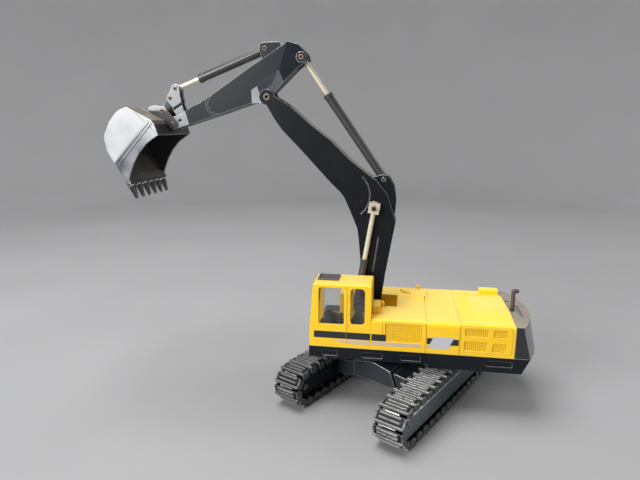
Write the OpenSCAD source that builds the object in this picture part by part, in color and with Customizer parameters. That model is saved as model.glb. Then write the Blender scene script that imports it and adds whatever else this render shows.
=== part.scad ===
// Crawler excavator scale model, 1:50. Millimetres.
// +X runs forward along the boom, +Y to the machine's left, +Z up.
// The origin is on the slew axis, on the ground.

/* [Undercarriage] */
// Angle of the tracks under the upper works
track_yaw = 61.7; // [0:0.1:90]
// Distance from idler axle to slew axis along the track
wheelbase_half = 49.1; // [44:0.1:56]
// Sideways distance from slew axis to the middle of a track
track_offset = 30.55; // [29.5:0.05:34]
// Width of a track shoe
shoe_w = 15.7; // [15:0.1:17.5]
// Height of the track over the rib tops
track_h = 21.9; // [21.5:0.1:24]
// Number of shoes in one track
shoe_count = 37; // [35:1:38]
// Length of one shoe plate along the track
shoe_len = 6; // [5:0.1:6.1]
// Thickness of the shoe plate
shoe_plate_t = 0.65; // [0.5:0.05:0.8]
// Height of the ribs on a shoe
grouser_h = 0.9; // [0.4:0.05:1]
// Radius of the track pins
track_pin_r = 0.6; // [0.4:0.05:0.7]
// Radius of the idler and sprocket axles
axle_r = 1.5; // [1:0.1:2]
// Thickness of the outer frame cover
cover_t = 0.75; // [0.5:0.05:0.8]

/* [Deck and hood] */
// Height of the deck top over the ground
deck_top_z = 33.5; // [33:0.1:36]
// Height of the deck's bottom edge along the sides
deck_bottom_z = 27.4; // [26.5:0.1:28.5]
// Height of the deck's lowest face over the tracks
deck_low_z = 25.4; // [24.8:0.1:26]
// Width of the upper works
body_w = 57.2; // [56.5:0.1:62]
// Height of the hood top over the ground
hood_top_z = 50.1; // [48:0.1:53]
// Distance from slew axis back to the rear of the hood
hood_rear = 59.8; // [58:0.1:62]
// Wall of the hood, cab and housings
wall = 1.2; // [0.8:0.05:1.5]
// Radius of the counterweight's curved rear at its foot
tail_r = 62.5; // [61.5:0.1:63.5]
// Length of the counterweight from the hood to its tail
tail_len = 14.7; // [13.5:0.1:16]
// Radius of the exhaust pipe
exhaust_r = 1.1; // [0.7:0.05:1.4]
// Height of the exhaust pipe over the counterweight
exhaust_h = 11; // [6:0.1:14]

/* [Cab] */
// Height of the cab roof over the ground
cab_top_z = 67.8; // [64:0.1:71]
// Distance from slew axis forward to the foot of the windscreen
cab_front = 43.5; // [42:0.1:45]
// Distance from slew axis forward to the back of the cab
cab_rear = 11.3; // [10.8:0.1:12]
// Width of the cab
cab_w = 19; // [18:0.1:19.2]
// Thickness of the clear glazing
glass_t = 0.6; // [0.4:0.05:0.8]

/* [Boom] */
// Distance between the boom's foot pin and tip pin
boom_len = 135.3; // [132:0.1:140]
// Angle of the boom's pin line over the ground
boom_angle = 64.2; // [62:0.1:65]
// Width of the boom
boom_w = 10.4; // [9.8:0.1:10.4]
// Radius of the boom's foot and tip pins
boom_pin_r = 1.7; // [1.2:0.05:2]

/* [Arm] */
// Distance between the arm's boom pin and bucket pin
arm_len = 54.8; // [53.5:0.1:58]
// Angle of the arm's pin line over the ground
arm_angle = -14.6; // [-17:0.1:-13]
// Width of the arm
arm_w = 10.4; // [9.6:0.1:10.4]
// Radius of the linkage pins at the bucket
link_pin_r = 1.1; // [0.8:0.05:1.3]

/* [Bucket] */
// Width of the bucket over its side plates
bucket_w = 42.1; // [36:0.1:46]
// Thickness of the bucket's side plates and shell
bucket_t = 1.3; // [0.9:0.05:1.6]
// Number of teeth
tooth_count = 6; // [4:1:7]
// Width of a tooth
tooth_w = 2.1; // [1.6:0.1:3]
// Length of a tooth past the lip
tooth_len = 8.5; // [6:0.1:10]

/* [Cylinders] */
// Radius of the two boom cylinder barrels
boom_barrel_r = 1.9; // [1.6:0.05:1.9]
// Radius of the arm and bucket cylinder barrels
barrel_r = 2.3; // [1.8:0.05:2.4]
// Radius of the polished rods
rod_r = 1.3; // [0.9:0.05:1.4]
// Radius of the cylinder pins
cyl_pin_r = 1.2; // [0.8:0.05:1.4]

/* [Fits] */
// Radial clearance of a pin or rod that turns or slides in its hole
run_clear = 0.05; // [0.03:0.01:0.08]
// Gap between moving pieces that lie side by side
side_gap = 0.3; // [0.2:0.05:0.4]

/* [Hidden] */
$fn = 48;

yellow = "gold";
slate = "#2b3038";
navy = "#22262e";
steel = "silver";
gunmetal = "dimgray";
bronze = "#9c7a54";
eps = 0.01;

// ---- helpers ----
function polar(r, a) = [r * cos(a), r * sin(a)];
function turn(p, a) = [p.x * cos(a) - p.y * sin(a), p.x * sin(a) + p.y * cos(a)];
function arc(c, r, a0, a1, n = 6) = [for (i = [0:n]) c + polar(r, a0 + (a1 - a0) * i / n)];
function heading(p, q) = atan2(q.y - p.y, q.x - p.x);

// An outline in X and Z, given thickness in Y
module side(y0, y1) {
  translate([0, y1, 0]) rotate([90, 0, 0]) linear_extrude(y1 - y0) children();
}
module both_sides(y0, y1) {
  side(y0, y1) children();
  side(-y1, -y0) children();
}
// An outline in Y and Z, given thickness in X
module cross_section(x0, x1) {
  translate([x0, 0, 0]) rotate([90, 0, 90]) linear_extrude(x1 - x0) children();
}
module box(x0, x1, y0, y1, z0, z1) {
  translate([x0, y0, z0]) cube([x1 - x0, y1 - y0, z1 - z0]);
}
// A pin or hole along Y through the point p of the XZ plane
module y_rod(p, r, y0, y1) {
  translate([p.x, y1, p.y]) rotate([90, 0, 0]) cylinder(r = r, h = y1 - y0);
}
// A pin with a hollow in each end
module hollow_pin(p, r, y0, y1) {
  difference() {
    y_rod(p, r, y0, y1);
    y_rod(p, r * 0.5, y1 - r * 0.8, y1 + 1);
    y_rod(p, r * 0.5, y0 - 1, y0 + r * 0.8);
  }
}
// A plain bar of half width w along a line
module bar_2d(p, q, w) {
  translate(p) rotate(heading(p, q)) translate([0, -w]) square([norm(q - p), 2 * w]);
}
// Two discs joined by their tangents
module strap(p, rp, q, rq) {
  bend = acos((rp - rq) / norm(q - p));
  way = heading(p, q);
  translate(p) circle(r = rp);
  translate(q) circle(r = rq);
  polygon([p + polar(rp, way + bend), q + polar(rq, way + bend),
    q + polar(rq, way - bend), p + polar(rp, way - bend)]);
}
module faceted_strap(p, rp, q, rq) {
  bend = acos((rp - rq) / norm(q - p));
  way = heading(p, q);
  polygon(concat(arc(p, rp, way + bend, way + 360 - bend, 20), arc(q, rq, way - bend, way + bend, 14)));
}
module rounded_box_2d(p, q, r) {
  polygon(concat(arc([q.x - r, q.y - r], r, 0, 90), arc([p.x + r, q.y - r], r, 90, 180),
    arc([p.x + r, p.y + r], r, 180, 270), arc([q.x - r, p.y + r], r, 270, 360)));
}

// ---- track layout, in a frame whose X runs along the tracks ----
wheel_z = track_h / 2;
pitch_r = wheel_z - 2.35;
plate_out = wheel_z - pitch_r - grouser_h;
plate_in = plate_out - shoe_plate_t;
straight = 2 * wheelbase_half;
chain_len = 2 * straight + 2 * PI * pitch_r;
shoe_pitch = chain_len / shoe_count;
rail_half = 3.2;
rail_w = 1.2;
rail_in = -1.4;
link_play = 0.15;
lug_t = 0.95;
lug_in = -2.05;
rib_w = 0.8;
rib_gap = 2.1;
short_rib = 11;
wheel_rim_r = 6.2;
wheel_rim_w = 7.6;
wheel_tooth_r = 7.5;
fork_in = 4.2;
fork_out = 5.5;
frame_bottom = 7;
frame_top = 15.5;
skirt_bottom = 5.5;
cover_bottom = 5.5;
cover_top = 16.2;
cover_front = wheelbase_half + 5.3;
carbody_side = track_offset - fork_out;

// Point and heading at a distance along the chain, from the bottom's front end
function chain_at(s) =
  let (d = s - floor(s / chain_len) * chain_len, bend = PI * pitch_r)
  d < straight ? [[wheelbase_half - d, wheel_z - pitch_r], 180] :
  d < straight + bend ?
    let (a = -90 - (d - straight) / bend * 180)
    [[-wheelbase_half, wheel_z] + polar(pitch_r, a), a - 90] :
  d < 2 * straight + bend ? [[-wheelbase_half + d - straight - bend, wheel_z + pitch_r], 0] :
    let (a = 90 - (d - 2 * straight - bend) / bend * 180)
    [[wheelbase_half, wheel_z] + polar(pitch_r, a), a - 90];

module on_tracks(side_sign) {
  rotate([0, 0, track_yaw]) translate([0, side_sign * track_offset, 0]) children();
}
// Places its child at every shoe: X along the chain, Z outward
module along_chain() {
  for (i = [0:shoe_count - 1]) {
    a = chain_at((i - 0.25) * shoe_pitch)[0];
    b = chain_at((i + 0.75) * shoe_pitch)[0];
    mid = (a + b) / 2;
    translate([mid.x, 0, mid.y]) rotate([0, 180 - heading(a, b), 0]) rotate([180, 0, 0]) children();
  }
}

module track_shoe() {
  lug_half = 2.5;
  plate_half_w = shoe_w / 2 - lug_t;
  rib_top = plate_out + grouser_h;
  box(-shoe_len / 2, shoe_len / 2, -plate_half_w, plate_half_w, plate_in, plate_out);
  box(rib_gap - rib_w / 2, rib_gap + rib_w / 2, -shoe_w / 2, shoe_w / 2, plate_out - 0.1, rib_top);
  for (x = [0, -rib_gap])
    box(x - rib_w / 2, x + rib_w / 2, -short_rib / 2, short_rib / 2, plate_out, rib_top);
  for (s = [-1, 1]) {
    translate([0, s * (shoe_w - lug_t) / 2, 0]) side(-lug_t / 2, lug_t / 2)
      polygon([[-lug_half, plate_out], [lug_half, plate_out], [lug_half, -1.1],
        [lug_half - 0.7, lug_in], [0.7 - lug_half, lug_in], [-lug_half, -1.1]]);
    translate([0, s * (rail_half - rail_w / 2), 0])
      difference() {
        side(-rail_w / 2, rail_w / 2)
          polygon([[-shoe_len / 2, plate_in], [shoe_len / 2, plate_in], [shoe_len / 2, -0.4],
            [shoe_len / 2 - 0.6, rail_in], [0.6 - shoe_len / 2, rail_in], [-shoe_len / 2, -0.4]]);
        for (e = [-1, 1])
          y_rod([e * shoe_pitch / 2, 0], track_pin_r + link_play, -rail_w, rail_w, $fn = 14);
      }
  }
}
module track_shoes(side_sign) {
  color(gunmetal) on_tracks(side_sign) along_chain() track_shoe();
}
module track_pins(side_sign) {
  color(steel) on_tracks(side_sign)
    for (i = [0:shoe_count - 1]) {
      y_rod(chain_at((i + 0.75) * shoe_pitch)[0], track_pin_r, -rail_half - 0.4, rail_half + 0.4);
    }
}

module track_frame(side_sign) {
  color(slate) on_tracks(side_sign) difference() {
    union() {
      reach = wheelbase_half - wheel_tooth_r - 1.5;
      box(-reach, reach, -fork_out, fork_out, frame_bottom, frame_top);
      for (s = [-1, 1]) scale([1, s, 1]) {
        box(-reach, reach, fork_in, fork_out, skirt_bottom, frame_bottom);
        side(fork_in, fork_out) for (e = [-1, 1])
          strap([e * wheelbase_half, wheel_z], 4, [e * reach, wheel_z], 4.2);
      }
      for (x = carrier_x) both_sides(fork_in - 0.3, fork_in + 0.5)
        translate([x - 1, frame_top]) square([2, carrier_z - frame_top + 0.8]);
    }
    for (e = [-1, 1]) y_rod([e * wheelbase_half, wheel_z], axle_r, -fork_out - 1, fork_out + 1);
    for (x = screw_x) translate([x, -side_sign * (fork_out + 1), screw_z])
      rotate([side_sign > 0 ? -90 : 90, 0, 0]) cylinder(r = screw_r, h = screw_len + 1);
    for (x = carrier_x) y_rod([x, carrier_z], roller_axle_r, -fork_out, fork_out);
    for (i = [0:roller_count - 1]) y_rod([roller_x(i), roller_z], roller_axle_r, -fork_out, fork_out);
  }
}
roller_count = 7;
roller_r = 1.5;
roller_axle_r = 0.5;
roller_z = wheel_z - pitch_r - rail_in + roller_r + 0.1;
carrier_x = [-23, 0, 23];
carrier_r = 1.2;
carrier_z = wheel_z + pitch_r + rail_in - carrier_r - 0.1;
screw_x = [-9, 9];
screw_z = 11.5;
screw_r = 0.9;
screw_len = 3;
function roller_x(i) = (i - (roller_count - 1) / 2) * 11.4;

module track_rollers() {
  color(steel) for (s = [-1, 1]) on_tracks(s) {
    for (i = [0:roller_count - 1]) {
      y_rod([roller_x(i), roller_z], roller_r, -fork_in + side_gap, fork_in - side_gap);
      y_rod([roller_x(i), roller_z], roller_axle_r, -fork_out, fork_out);
    }
    for (x = carrier_x) {
      y_rod([x, carrier_z], carrier_r, -rail_half - 0.3, rail_half + 0.3);
      y_rod([x, carrier_z], roller_axle_r, -fork_in - 0.5, fork_in + 0.5);
    }
  }
}

module frame_cover(side_sign) {
  tail = -cover_front;
  color(slate) on_tracks(side_sign) scale([1, side_sign, 1]) difference() {
    union() {
      side(fork_out, fork_out + cover_t)
        polygon([[cover_front, cover_bottom + 2], [cover_front, cover_top],
          [cover_front - 16, cover_top + 0.1], [cover_front - 24, cover_top - 0.5],
          [tail + 4, cover_top - 0.5], [tail, wheel_z + 2], [tail, wheel_z - 2],
          [tail + 3, cover_bottom], [cover_front - 3, cover_bottom]]);
      y_rod([-wheelbase_half, wheel_z], 4.2, fork_out, fork_out + cover_t + 0.5);
    }
    for (e = [-1, 1])
      y_rod([e * wheelbase_half, wheel_z], axle_r, fork_out - 1, fork_out + cover_t + 1);
  }
}
module wheel_axles() {
  color(bronze) for (s = [-1, 1]) on_tracks(s) for (e = [-1, 1])
    hollow_pin([e * wheelbase_half, wheel_z], axle_r, -fork_out, fork_out + cover_t);
}
module idler(side_sign) {
  color(gunmetal) on_tracks(side_sign) difference() {
    union() {
      y_rod([wheelbase_half, wheel_z], wheel_rim_r, -wheel_rim_w / 2, wheel_rim_w / 2);
      y_rod([wheelbase_half, wheel_z], wheel_tooth_r, -1.6, 1.6);
    }
    y_rod([wheelbase_half, wheel_z], axle_r + run_clear, -wheel_rim_w, wheel_rim_w);
    for (s = [-1, 1]) translate([0, s * (wheel_rim_w / 2), 0]) difference() {
      y_rod([wheelbase_half, wheel_z], 5, -1.2, 1.2);
      y_rod([wheelbase_half, wheel_z], 2.8, -2, 2);
    }
  }
}
module sprocket(side_sign) {
  teeth = 10;
  hub = [-wheelbase_half, wheel_z];
  color(gunmetal) on_tracks(side_sign) difference() {
    union() {
      y_rod(hub, 5.2, -wheel_rim_w / 2, wheel_rim_w / 2);
      side(-1.4, 1.4) translate(hub) difference() {
        circle(r = wheel_tooth_r);
        for (i = [0:teeth - 1]) rotate(i * 360 / teeth)
          translate([wheel_tooth_r + 0.1, 0]) circle(r = 1.3);
      }
    }
    y_rod(hub, axle_r + run_clear, -wheel_rim_w, wheel_rim_w);
  }
}

// ---- carbody and slew ring ----
carbody_top = 21.2;
ring_r = 14;
ring_top = deck_low_z - side_gap;
pivot_r = 4;
module carbody() {
  arch = [[8, 9.6], [13.5, 10.4], [10.2, 18.9], [0.2, carbody_top], [-1.6, carbody_top],
    [-12.7, 19], [-12.7, 10.2], [-7, 10.2], [-5, 10.3], [5, 10.3]];
  beam = [[carbody_side, 7], [carbody_side, 15], [12.5, 17], [-12.7, 17], [-carbody_side, 15],
    [-carbody_side, 7], [-18, 7], [-9, 10.6], [9, 10.6], [18, 7]];
  color(slate) rotate([0, 0, track_yaw]) difference() {
    union() {
      cross_section(-21, 21) polygon(arch);
      cross_section(-18.5, 18.5) polygon(beam);
      translate([0, 0, 16]) cylinder(r = ring_r - 3, h = carbody_top - 16);
    }
    translate([0, 0, 5]) cylinder(r = pivot_r + run_clear, h = carbody_top);
    translate([0, 0, 5]) cylinder(r = pivot_r + 2.4, h = 7);
    for (s = [-1, 1]) for (x = screw_x) translate([x, s * (carbody_side + 1), screw_z])
      rotate([s > 0 ? 90 : -90, 0, 0]) cylinder(r = screw_r, h = screw_len + 1);
  }
}
module slew_ring() {
  color(gunmetal) difference() {
    union() {
      translate([0, 0, carbody_top]) cylinder(r = ring_r - 1, h = ring_top - carbody_top);
      translate([0, 0, carbody_top]) cylinder(r = ring_r, h = 2.2);
    }
    translate([0, 0, carbody_top - 1]) cylinder(r = pivot_r + 1, h = 10);
  }
}
module frame_screws() {
  color(steel) rotate([0, 0, track_yaw]) for (s = [-1, 1]) for (x = screw_x)
    translate([x, s * (carbody_side - screw_len), screw_z])
      rotate([s > 0 ? -90 : 90, 0, 0]) cylinder(r = screw_r, h = 2 * screw_len);
}
module slew_pivot() {
  color(steel) {
    translate([0, 0, 10.6]) cylinder(r = pivot_r, h = deck_low_z + 2.5 - 10.6);
    translate([0, 0, 10.6]) cylinder(r = pivot_r + 2, h = 1.3);
  }
}

// ---- deck ----
side_y = body_w / 2;
channel_y = side_y - cab_w;
channel_z = 29.5;
deck_front = cab_front + 0.2;
tail_x = -hood_rear - tail_len;
tail_c = tail_x + tail_r;
tank_front = 38;
foot = [11, 39.5];
cyl_foot = [23.5, 34.5];
lug_gap = 0.1;
boom_half = boom_w / 2;
cyl_y0 = boom_half + side_gap;
cyl_y1 = cyl_y0 + 2 * boom_barrel_r;
cyl_y = (cyl_y0 + cyl_y1) / 2;
foot_lug_t = 2;
foot_lug_y = boom_half + lug_gap;
recess_x = [[28.7, 36.7], [5.2, 15.8], [-14.2, -4.2], [-59.2, -46.4]];
module deck() {
  color(slate) difference() {
    union() {
      difference() {
        union() {
          box(-hood_rear, deck_front, -side_y, side_y, deck_bottom_z, deck_top_z);
          box(-hood_rear, -18, -side_y, side_y, deck_low_z, deck_bottom_z + eps);
          intersection() {
            box(tail_x - 1, -hood_rear + eps, -side_y, side_y, deck_low_z, deck_top_z);
            translate([tail_c, 0, deck_low_z])
              cylinder(r1 = tail_r - 3.4, r2 = tail_r, h = deck_top_z - deck_low_z, $fn = 180);
          }
          translate([0, 0, deck_low_z]) cylinder(r = ring_r - 1, h = 4);
        }
        box(3, deck_front + 1, -channel_y, channel_y, channel_z, deck_top_z + 1);
        for (r = recess_x) for (s = [-1, 1]) scale([1, s, 1])
          side(side_y - 0.5, side_y + 1)
            rounded_box_2d([r[0], deck_bottom_z + 1.1], [r[1], deck_bottom_z + 4], 0.5);
      }
      both_sides(foot_lug_y, foot_lug_y + foot_lug_t) {
        translate(foot) circle(r = 4.2);
        polygon([[foot.x - 6.5, channel_z], [foot.x + 4.2, channel_z], foot + [4.2, 0], foot + [-4.2, 0]]);
      }
      both_sides(cyl_y1 + lug_gap, channel_y) {
        translate(cyl_foot) circle(r = 2.6);
        translate([cyl_foot.x - 3, channel_z]) square([6, cyl_foot.y - channel_z]);
      }
      both_sides(cyl_y0 - lug_gap - 1.3, cyl_y0 - lug_gap) {
        translate(cyl_foot) circle(r = 2.2);
        translate([cyl_foot.x - 2.6, channel_z]) square([5.2, cyl_foot.y - channel_z]);
      }
    }
    y_rod(foot, boom_pin_r, -side_y, side_y);
    y_rod(cyl_foot, cyl_pin_r, -channel_y - 2, channel_y + 2);
    translate([0, 0, deck_low_z - 1]) cylinder(r = pivot_r, h = 3.5);
  }
}
module boom_foot_pin() {
  color(bronze) hollow_pin(foot, boom_pin_r, -foot_lug_y - foot_lug_t, foot_lug_y + foot_lug_t);
}
module cylinder_foot_pins() {
  color(bronze) for (s = [-1, 1]) scale([1, s, 1])
    y_rod(cyl_foot, cyl_pin_r, cyl_y0 - lug_gap - 1.3, channel_y);
}

// ---- engine hood and its doors ----
hood_round = 2.2;
door_t = 1;
door_front = [-16.6, 5.2];
door_rear = [-58.5, -33.5];
door_z = [35.2, 49];
door_z_front = [37, 49];
notch = [-1.5, 12, 8];
notch_floor = 43.2;
plateau_h = 1.5;
lid_h = 1.3;
module hood_profile(inset) {
  w = side_y - inset;
  top = hood_top_z - inset;
  r = hood_round;
  polygon(concat([[-w, deck_top_z], [w, deck_top_z]], arc([w - r, top - r], r, 0, 90),
    arc([r - w, top - r], r, 90, 180)));
}
module door_shape(x, z, slack) {
  rounded_box_2d([x[0] - slack, z[0] - slack], [x[1] + slack, z[1] + slack], 0.9);
}
// The raised rear of the hood top, hipped on three sides
module rear_plateau() {
  z = hood_top_z - eps;
  intersection() {
    cross_section(-hood_rear, -34.5)
      polygon([[-21.1, z], [23.5, z], [12, hood_top_z + plateau_h], [-13.5, hood_top_z + plateau_h]]);
    side(-side_y, side_y)
      polygon([[-34.5, z], [-41, hood_top_z + plateau_h], [-hood_rear, hood_top_z + plateau_h],
        [-hood_rear, z]]);
  }
}
// The low lid beside the notch, sloping down to the left
module front_lid() {
  z = hood_top_z - eps;
  intersection() {
    cross_section(-18, -2) polygon([[-20.5, z], [-1, z], [-10.8, hood_top_z + lid_h],
      [-20.5, hood_top_z + lid_h]]);
    translate([0, 0, z]) linear_extrude(2) polygon([[-18, -21], [-2.9, -21], [-4.7, -16.4], [-8.6, -14.6],
      [-8.4, 0], [-18, 0]]);
  }
}
module engine_hood() {
  color(yellow) difference() {
    union() {
      cross_section(-hood_rear, cab_rear) hood_profile(0);
      rear_plateau();
      front_lid();
    }
    cross_section(-hood_rear + wall, cab_rear - wall) difference() {
      hood_profile(wall);
      translate([-side_y, deck_top_z - 1]) square([2 * side_y, 1 + eps]);
      for (s = [-1, 1]) scale([s, 1]) translate([side_y - wall - 1.3, deck_top_z])
        square([2, hood_top_z]);
    }
    box(-hood_rear + wall, cab_rear - wall, -side_y + 2.5, side_y - 2.5, deck_top_z - 1, deck_top_z + 2);
    box(7.8, cab_rear + 1, -side_y - 1, notch[2], deck_top_z - 1, hood_top_z + 1);
    box(notch[0], cab_rear + 1, -notch[1], notch[2], deck_top_z - 1, hood_top_z + 1);
    for (s = [-1, 1]) scale([1, s, 1]) side(side_y - door_t, side_y + 1) {
      door_shape(door_front, door_z_front, 0.1);
      door_shape(door_rear, door_z, 0.1);
    }
    for (x = [-16.7, -33.4]) {
      box(x - 0.2, x + 0.2, -side_y - 1, side_y + 1, hood_top_z - 0.25, hood_top_z + 1);
      for (s = [-1, 1]) scale([1, s, 1])
        box(x - 0.2, x + 0.2, side_y - 0.25, side_y + 1, deck_top_z - 1, hood_top_z + 1);
    }
    box(-15, 4, 22, 22.4, hood_top_z - 0.2, hood_top_z + 1);
  }
  color(yellow) translate([6.3, notch[2] + 1.3, hood_top_z - eps]) {
    cylinder(r = 1.1, h = 2.5);
    translate([0, 0, 2.5]) sphere(r = 1.1);
  }
  color(yellow) difference() {
    union() {
      box(notch[0] - wall, notch[0], -notch[1] - wall, notch[2] + wall, deck_top_z + 1, hood_top_z - wall);
      for (y = [-notch[1] - wall, notch[2]])
        box(notch[0] - wall, 7.8, y, y + wall, deck_top_z + 1, hood_top_z - wall);
      box(notch[0] - wall, 5.6, -notch[1] - wall, notch[2] + wall, notch_floor - wall, notch_floor);
    }
    box(notch[0] - wall - 1, notch[0] + 1, -1, 1, deck_top_z, deck_top_z + 2);
  }
}
// Sunken grille fields of the doors: rear edge, front edge, foot and top
grille_front = [[-14.8, 3.9, 38.3, 48.2]];
grille_rear = [[-56.1, -49.4, 43.8, 47.9], [-47, -35.6, 43.8, 48], [-56.1, -49.2, 36.1, 40.8],
  [-46.6, -35.4, 36.1, 41.2]];
module side_door(x, z, s, fields) {
  color(yellow) scale([1, s, 1]) difference() {
    side(side_y - door_t, side_y) door_shape(x, z, 0);
    for (f = fields) side(side_y - 0.35, side_y + 1) rounded_box_2d([f[0], f[2]], [f[1], f[3]], 0.8);
  }
}
module step_block() {
  r = 0.6;
  color(yellow) cross_section(7.2, cab_rear - 0.1) translate([0, hood_top_z])
    polygon(concat([[notch[2] + 2.8, 0], [20.6, 0]], arc([20.6 - r, 4.6 - r], r, 0, 90),
      arc([notch[2] + 2.8 + r, 4.6 - r], r, 90, 180)));
}
module air_filter_box() {
  color(yellow) cross_section(-59.4, -49) translate([-24.5, hood_top_z])
    polygon(concat([[-3.2, 0], [3.2, 0]], arc([2, 1.4], 1.2, 0, 90), arc([-2, 1.4], 1.2, 90, 180)));
}
module filler_caps() {
  color(yellow) for (p = [[-13.5, -24], [26, -22]]) translate([p.x, p.y, hood_top_z]) {
    cylinder(r = 1.7, h = 1.2);
    cylinder(r = 1.2, h = 2.6);
  }
}
slot_x = -hood_rear - 6.4;
module counterweight() {
  color(navy) difference() {
    intersection() {
      box(tail_x - 1, -hood_rear, -side_y, side_y, deck_top_z, hood_top_z);
      translate([tail_c, 0, deck_top_z])
        cylinder(r1 = tail_r, r2 = tail_r - 3.6, h = hood_top_z - deck_top_z, $fn = 180);
    }
    box(slot_x - 0.4, slot_x + 1.5, -5, 13.3, hood_top_z - 1.5, hood_top_z + 1);
    box(slot_x + 1, -hood_rear + 1, -11.2, -9.8, hood_top_z - 1, hood_top_z + 1);
    translate([exhaust_x, exhaust_y, hood_top_z - 2]) cylinder(r = exhaust_r + 0.1, h = 3);
  }
}
exhaust_x = -hood_rear - 2.4;
exhaust_y = 4.5;
module exhaust_pipe() {
  bore = exhaust_r * 0.65;
  color(steel) difference() {
    union() {
      translate([exhaust_x, exhaust_y, hood_top_z - 2]) cylinder(r = exhaust_r, h = exhaust_h + 2);
      translate([exhaust_x, exhaust_y, hood_top_z + exhaust_h]) sphere(r = exhaust_r);
      translate([exhaust_x, exhaust_y, hood_top_z + exhaust_h]) rotate([0, -90, 0])
        cylinder(r = exhaust_r, h = 2.6);
    }
    translate([exhaust_x - 1, exhaust_y, hood_top_z + exhaust_h]) rotate([0, -90, 0])
      cylinder(r = bore, h = 4);
  }
}
module housing(x0, x1, top) {
  r = 1.6;
  y0 = -side_y;
  y1 = -channel_y - 0.3;
  difference() {
    cross_section(x0, x1) polygon(concat([[y0, deck_top_z], [y1, deck_top_z], [y1, top]],
      arc([y0 + r, top - r], r, 90, 180)));
    box(x0 + wall, x1 - wall, y0 + wall, y1 - wall, deck_top_z - 1, top - 2);
  }
}
module right_tank_housing() {
  color(yellow) difference() {
    housing(8, tank_front - 6, hood_top_z);
    box(22, 22.4, -side_y - 1, -channel_y + 1, hood_top_z - 0.25, hood_top_z + 1);
  }
}
module right_tool_box() {
  color(slate) housing(tank_front - 5.9, deck_front - 1, deck_top_z + 2.6);
}

// ---- cab ----
cab_y0 = channel_y + 0.05;
cab_lean = 2;
cab_round = 0.9;
win_z = [46, 65.8];
module cab_outline(inset) {
  x0 = cab_rear + inset;
  x1 = cab_front - inset;
  top = cab_top_z - inset;
  r = cab_round;
  polygon(concat([[x0, deck_top_z], [x1, deck_top_z], [x1, deck_top_z + 8]],
    arc([x1 - cab_lean - r, top - r], r, 0, 90), arc([x0 + r, top - r], r, 90, 180)));
}
module cab_section(inset) {
  y0 = cab_y0 + inset;
  y1 = side_y - inset;
  top = cab_top_z - inset;
  r = cab_round;
  polygon(concat([[y0, deck_top_z], [y1, deck_top_z]], arc([y1 - r, top - r], r, 0, 90),
    arc([y0 + r, top - r], r, 90, 180)));
}
module cab_solid(inset) {
  intersection() {
    side(cab_y0 + inset, side_y - inset) cab_outline(inset);
    cross_section(cab_rear + inset, cab_front - inset) cab_section(inset);
  }
}
module cab_windows() {
  side(cab_y0 - 1, side_y + 1) {
    rounded_box_2d([25.3, win_z[0]], [38.5, win_z[1]], 1.2);
    rounded_box_2d([14.6, win_z[0] + 0.4], [22, win_z[1]], 2);
  }
  cross_section(cab_front - 8, cab_front + 1)
    rounded_box_2d([cab_y0 + 2, deck_top_z + 7], [side_y - 2, win_z[1] - 1], 1);
  cross_section(cab_rear - 1, cab_rear + 3)
    rounded_box_2d([cab_y0 + 2.4, hood_top_z + 5.5], [side_y - 2.4, win_z[1] - 1], 1);
}
module cab_shell() {
  color(yellow) difference() {
    cab_solid(0);
    difference() {
      cab_solid(wall);
      box(0, 60, 0, side_y, deck_top_z - 1, deck_top_z - eps);
    }
    box(cab_rear + wall, cab_front - wall - 0.5, cab_y0 + wall, side_y - wall,
      deck_top_z - 1, deck_top_z + 2);
    cab_windows();
    box(23.4, 23.8, side_y - 0.3, side_y + 1, deck_top_z + 2, cab_top_z - 1.6);
  }
}
module cab_glazing() {
  color("lightcyan", 0.3) difference() {
    cab_solid(wall);
    cab_solid(wall + glass_t);
    box(0, 60, 0, side_y, deck_top_z - 1, glass_foot);
  }
}
glass_foot = 39.5;
module roof_hatch() {
  color(slate) difference() {
    translate([29, 13, cab_top_z]) cube([11, 9.5, 0.8]);
    translate([30, 14, cab_top_z + 0.4]) cube([9, 7.5, 1]);
  }
}
floor_top = deck_top_z + 1.6;
module cab_floor() {
  color(slate) box(cab_rear + wall + 0.1, cab_front - wall - 0.6, cab_y0 + wall + 0.1,
    side_y - wall - 0.1, deck_top_z, floor_top);
}
seat_y = (cab_y0 + side_y) / 2;
console_top = floor_top + 8;
module operator_seat() {
  color("#30343a") side(seat_y - 3, seat_y + 3)
    polygon([[26, floor_top], [26, floor_top + 6.8], [22.4, floor_top + 6.8], [22.1, floor_top + 10.5],
      [19.9, floor_top + 15.6], [18.8, floor_top + 20], [16.7, floor_top + 20.4], [16.7, floor_top]]);
}
module side_consoles() {
  color("#3a3f47") for (s = [-1, 1]) {
    y0 = seat_y + s * 5 - 1.4;
    box(20, 32.3, y0, y0 + 2.8, floor_top, console_top);
    side(y0, y0 + 2.8)
      polygon([[32, floor_top], [38.6, floor_top], [38, console_top + 3.6], [35.3, console_top + 6],
        [32.6, console_top + 3.8], [32, console_top]]);
  }
}
module control_levers() {
  color("#202226") for (s = [-1, 1]) translate([28.4, seat_y + s * 5, console_top]) {
    cylinder(r = 0.4, h = 3);
    translate([0, 0, 3.2]) sphere(r = 0.75);
  }
}

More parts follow.
